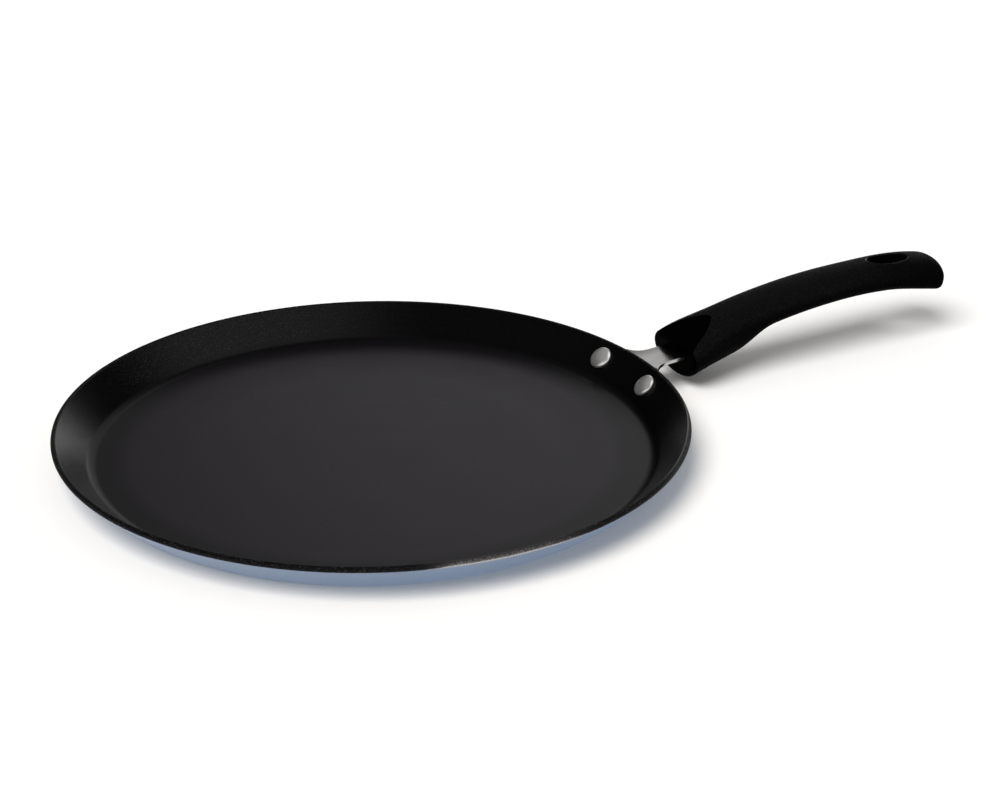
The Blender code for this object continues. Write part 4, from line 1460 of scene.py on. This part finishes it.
def make_floor(studio):
    """A level ring round the pan's base, closed to the eye by the base that stands on it."""
    profile = np.array([(radius, -FLOOR_DROP) for radius in FLOOR_RADII])
    rings = turned_rings(profile, FLOOR_STEPS)
    faces = grid_faces(numbered(rings))[:, ::-1]
    mesh = bpy.data.meshes.new("floor")
    mesh.from_pydata(rings.reshape(-1, 3).tolist(), [], faces.tolist())
    mesh.materials.append(floor_finish(studio.floor))
    floor = bpy.data.objects.new("floor", mesh)
    bpy.context.scene.collection.objects.link(floor)


def studio_light(sky, studio, z, height):
    """How bright the studio is that the camera and reflections see."""
    x, y, _ = sky.split(sky.node("ShaderNodeTexCoord", output="Generated"))
    turn = studio.azimuth
    ahead = x * -math.sin(turn) + y * math.cos(turn)
    aside = x * math.cos(turn) + y * math.sin(turn)
    bearing = sky.math("ARCTAN2", aside, ahead)

    screen = bearing.between(*SCREEN) * height.fall(*SCREEN_TOP) * SCREEN_LEVEL
    blind = aside * math.sin(BLIND_BEARING) + ahead * math.cos(BLIND_BEARING)
    horizon = height.fall(*HORIZON) * (1.0 - blind.ramp(*BLIND_EDGE) * BLIND_DEPTH)
    glow = bearing.between(*GLOW) * height.fall(*GLOW_TOP)
    level = math.cos(BOX_HEIGHT)
    toward_box = (aside * (level * math.sin(BOX_BEARING)) + ahead * (level * math.cos(BOX_BEARING))
                  + z * math.sin(BOX_HEIGHT))
    box = toward_box.ramp(*BOX_EDGE) * BOX_LEVEL
    dark = height.ramp(*DARK_RISE) * (DARK_LEVEL[1] - DARK_LEVEL[0]) + DARK_LEVEL[0]
    window = ahead.fall(*WINDOW_EDGE) * height.fall(*WINDOW_TOP)
    return sky.largest(sky.largest(screen, horizon) + glow + box + dark,
                       height.fall(*BELOW), window)


def make_sky(studio):
    """An even sky for the object's soft light, and a studio that reflections show.

    The camera sees the studio too, and no darker than white.
    """
    sky = Finish(bpy.data.worlds.new("studio"))
    _, _, z = sky.split(sky.node("ShaderNodeTexCoord", output="Generated"))
    height = sky.math("ARCSINE", z)
    camera = sky.rays("Camera")
    seen = sky.largest(camera, sky.rays("Glossy", "Transmission"))
    shown = sky.largest(studio_light(sky, studio, z, height), camera)
    soft = height.fall(*SKY_TURN) * (studio.bounce - studio.sky) + studio.sky
    light = sky.node("ShaderNodeBackground", None, {
        "Color": (1.0, 1.0, 1.0, 1.0), "Strength": soft * (1.0 - seen) + shown * seen})
    bpy.context.scene.world = sky.done(light, "ShaderNodeOutputWorld")


# Where the key light stands, as seen from the pan
KEY_FROM = (-0.639, -0.266, 1.0)


def make_key(studio):
    """A large soft lamp from the left, which reflections don't show."""
    light = bpy.data.lights.new("key", "SUN")
    light.energy = studio.key
    light.angle = studio.key_angle
    lamp = bpy.data.objects.new("key", light)
    lamp.visible_glossy = False
    lamp.rotation_euler = Vector(KEY_FROM).to_track_quat("Z", "Y").to_euler()
    bpy.context.scene.collection.objects.link(lamp)


def make_camera(studio):
    """A camera turned about the pan, aimed at one point."""
    data = bpy.data.cameras.new("camera")
    data.lens = studio.lens
    data.sensor_width = 36.0
    data.clip_start = 0.01
    camera = bpy.data.objects.new("camera", data)
    turn, tip = studio.azimuth, studio.elevation
    back = Vector((math.sin(turn) * math.cos(tip), -math.cos(turn) * math.cos(tip), math.sin(tip)))
    camera.location = Vector(studio.aim) + back * studio.distance
    camera.rotation_euler = (math.pi / 2 - tip, 0.0, turn)
    bpy.context.scene.collection.objects.link(camera)
    bpy.context.scene.camera = camera


# The add-on

class TAWA_OT_pan(bpy.types.Operator):
    """Build the pan with its coating and enamel"""
    bl_idname = "tawa.pan"
    bl_label = "Pan"

    def execute(self, context):
        make_pan(context.scene.tawa)
        return {"FINISHED"}


class TAWA_OT_rivets(bpy.types.Operator):
    """Build the two rivets"""
    bl_idname = "tawa.rivets"
    bl_label = "Rivets"

    def execute(self, context):
        make_rivets(context.scene.tawa)
        return {"FINISHED"}


class TAWA_OT_bracket(bpy.types.Operator):
    """Build the steel bracket with its foot, neck and tang"""
    bl_idname = "tawa.bracket"
    bl_label = "Bracket"

    def execute(self, context):
        make_bracket(context.scene.tawa)
        return {"FINISHED"}


class TAWA_OT_grip(bpy.types.Operator):
    """Build the moulded handle with its scoop and hang slot"""
    bl_idname = "tawa.grip"
    bl_label = "Handle"

    def execute(self, context):
        make_grip(context.scene.tawa)
        return {"FINISHED"}


class TAWA_OT_fixings(bpy.types.Operator):
    """Build the screw, its washer and the insert"""
    bl_idname = "tawa.fixings"
    bl_label = "Screw, washer and insert"

    def execute(self, context):
        make_fixings(context.scene.tawa)
        return {"FINISHED"}


class TAWA_OT_stage(bpy.types.Operator):
    """Set up the floor, the lights and the camera"""
    bl_idname = "tawa.stage"
    bl_label = "Studio"

    def execute(self, context):
        studio = context.scene.tawa.studio
        make_floor(studio)
        make_sky(studio)
        make_key(studio)
        make_camera(studio)
        context.scene.view_settings.view_transform = "Standard"
        return {"FINISHED"}


GROUPS = (
    ("pan", "tawa.pan"),
    ("rivet", "tawa.rivets"),
    ("bracket", "tawa.bracket"),
    ("grip", "tawa.grip"),
    ("fixing", "tawa.fixings"),
    ("studio", "tawa.stage"),
)


class TAWA_PT_tools(bpy.types.Panel):
    """The tawa's pieces and studio"""
    bl_idname = "TAWA_PT_tools"
    bl_label = "Tawa"
    bl_space_type = "VIEW_3D"
    bl_region_type = "UI"
    bl_category = "Tawa"

    def draw(self, context):
        for group, operator in GROUPS:
            box = self.layout.box()
            settings = getattr(context.scene.tawa, group)
            for key in settings.bl_rna.properties.keys():
                if key not in ("rna_type", "name"):
                    box.prop(settings, key)
            box.operator(operator)


CLASSES = (
    TawaPanSettings, TawaRivetSettings, TawaBracketSettings, TawaGripSettings,
    TawaFixingSettings, TawaStudioSettings, TawaSettings,
    TAWA_OT_pan, TAWA_OT_rivets, TAWA_OT_bracket, TAWA_OT_grip, TAWA_OT_fixings,
    TAWA_OT_stage, TAWA_PT_tools,
)


def register():
    for item in CLASSES:
        bpy.utils.register_class(item)
    bpy.types.Scene.tawa = PointerProperty(type=TawaSettings)


def unregister():
    del bpy.types.Scene.tawa
    for item in reversed(CLASSES):
        bpy.utils.unregister_class(item)


def main():
    register()
    bpy.ops.tawa.pan()
    bpy.ops.tawa.rivets()
    bpy.ops.tawa.bracket()
    bpy.ops.tawa.grip()
    bpy.ops.tawa.fixings()
    bpy.ops.tawa.stage()


if __name__ == "__main__":
    main()
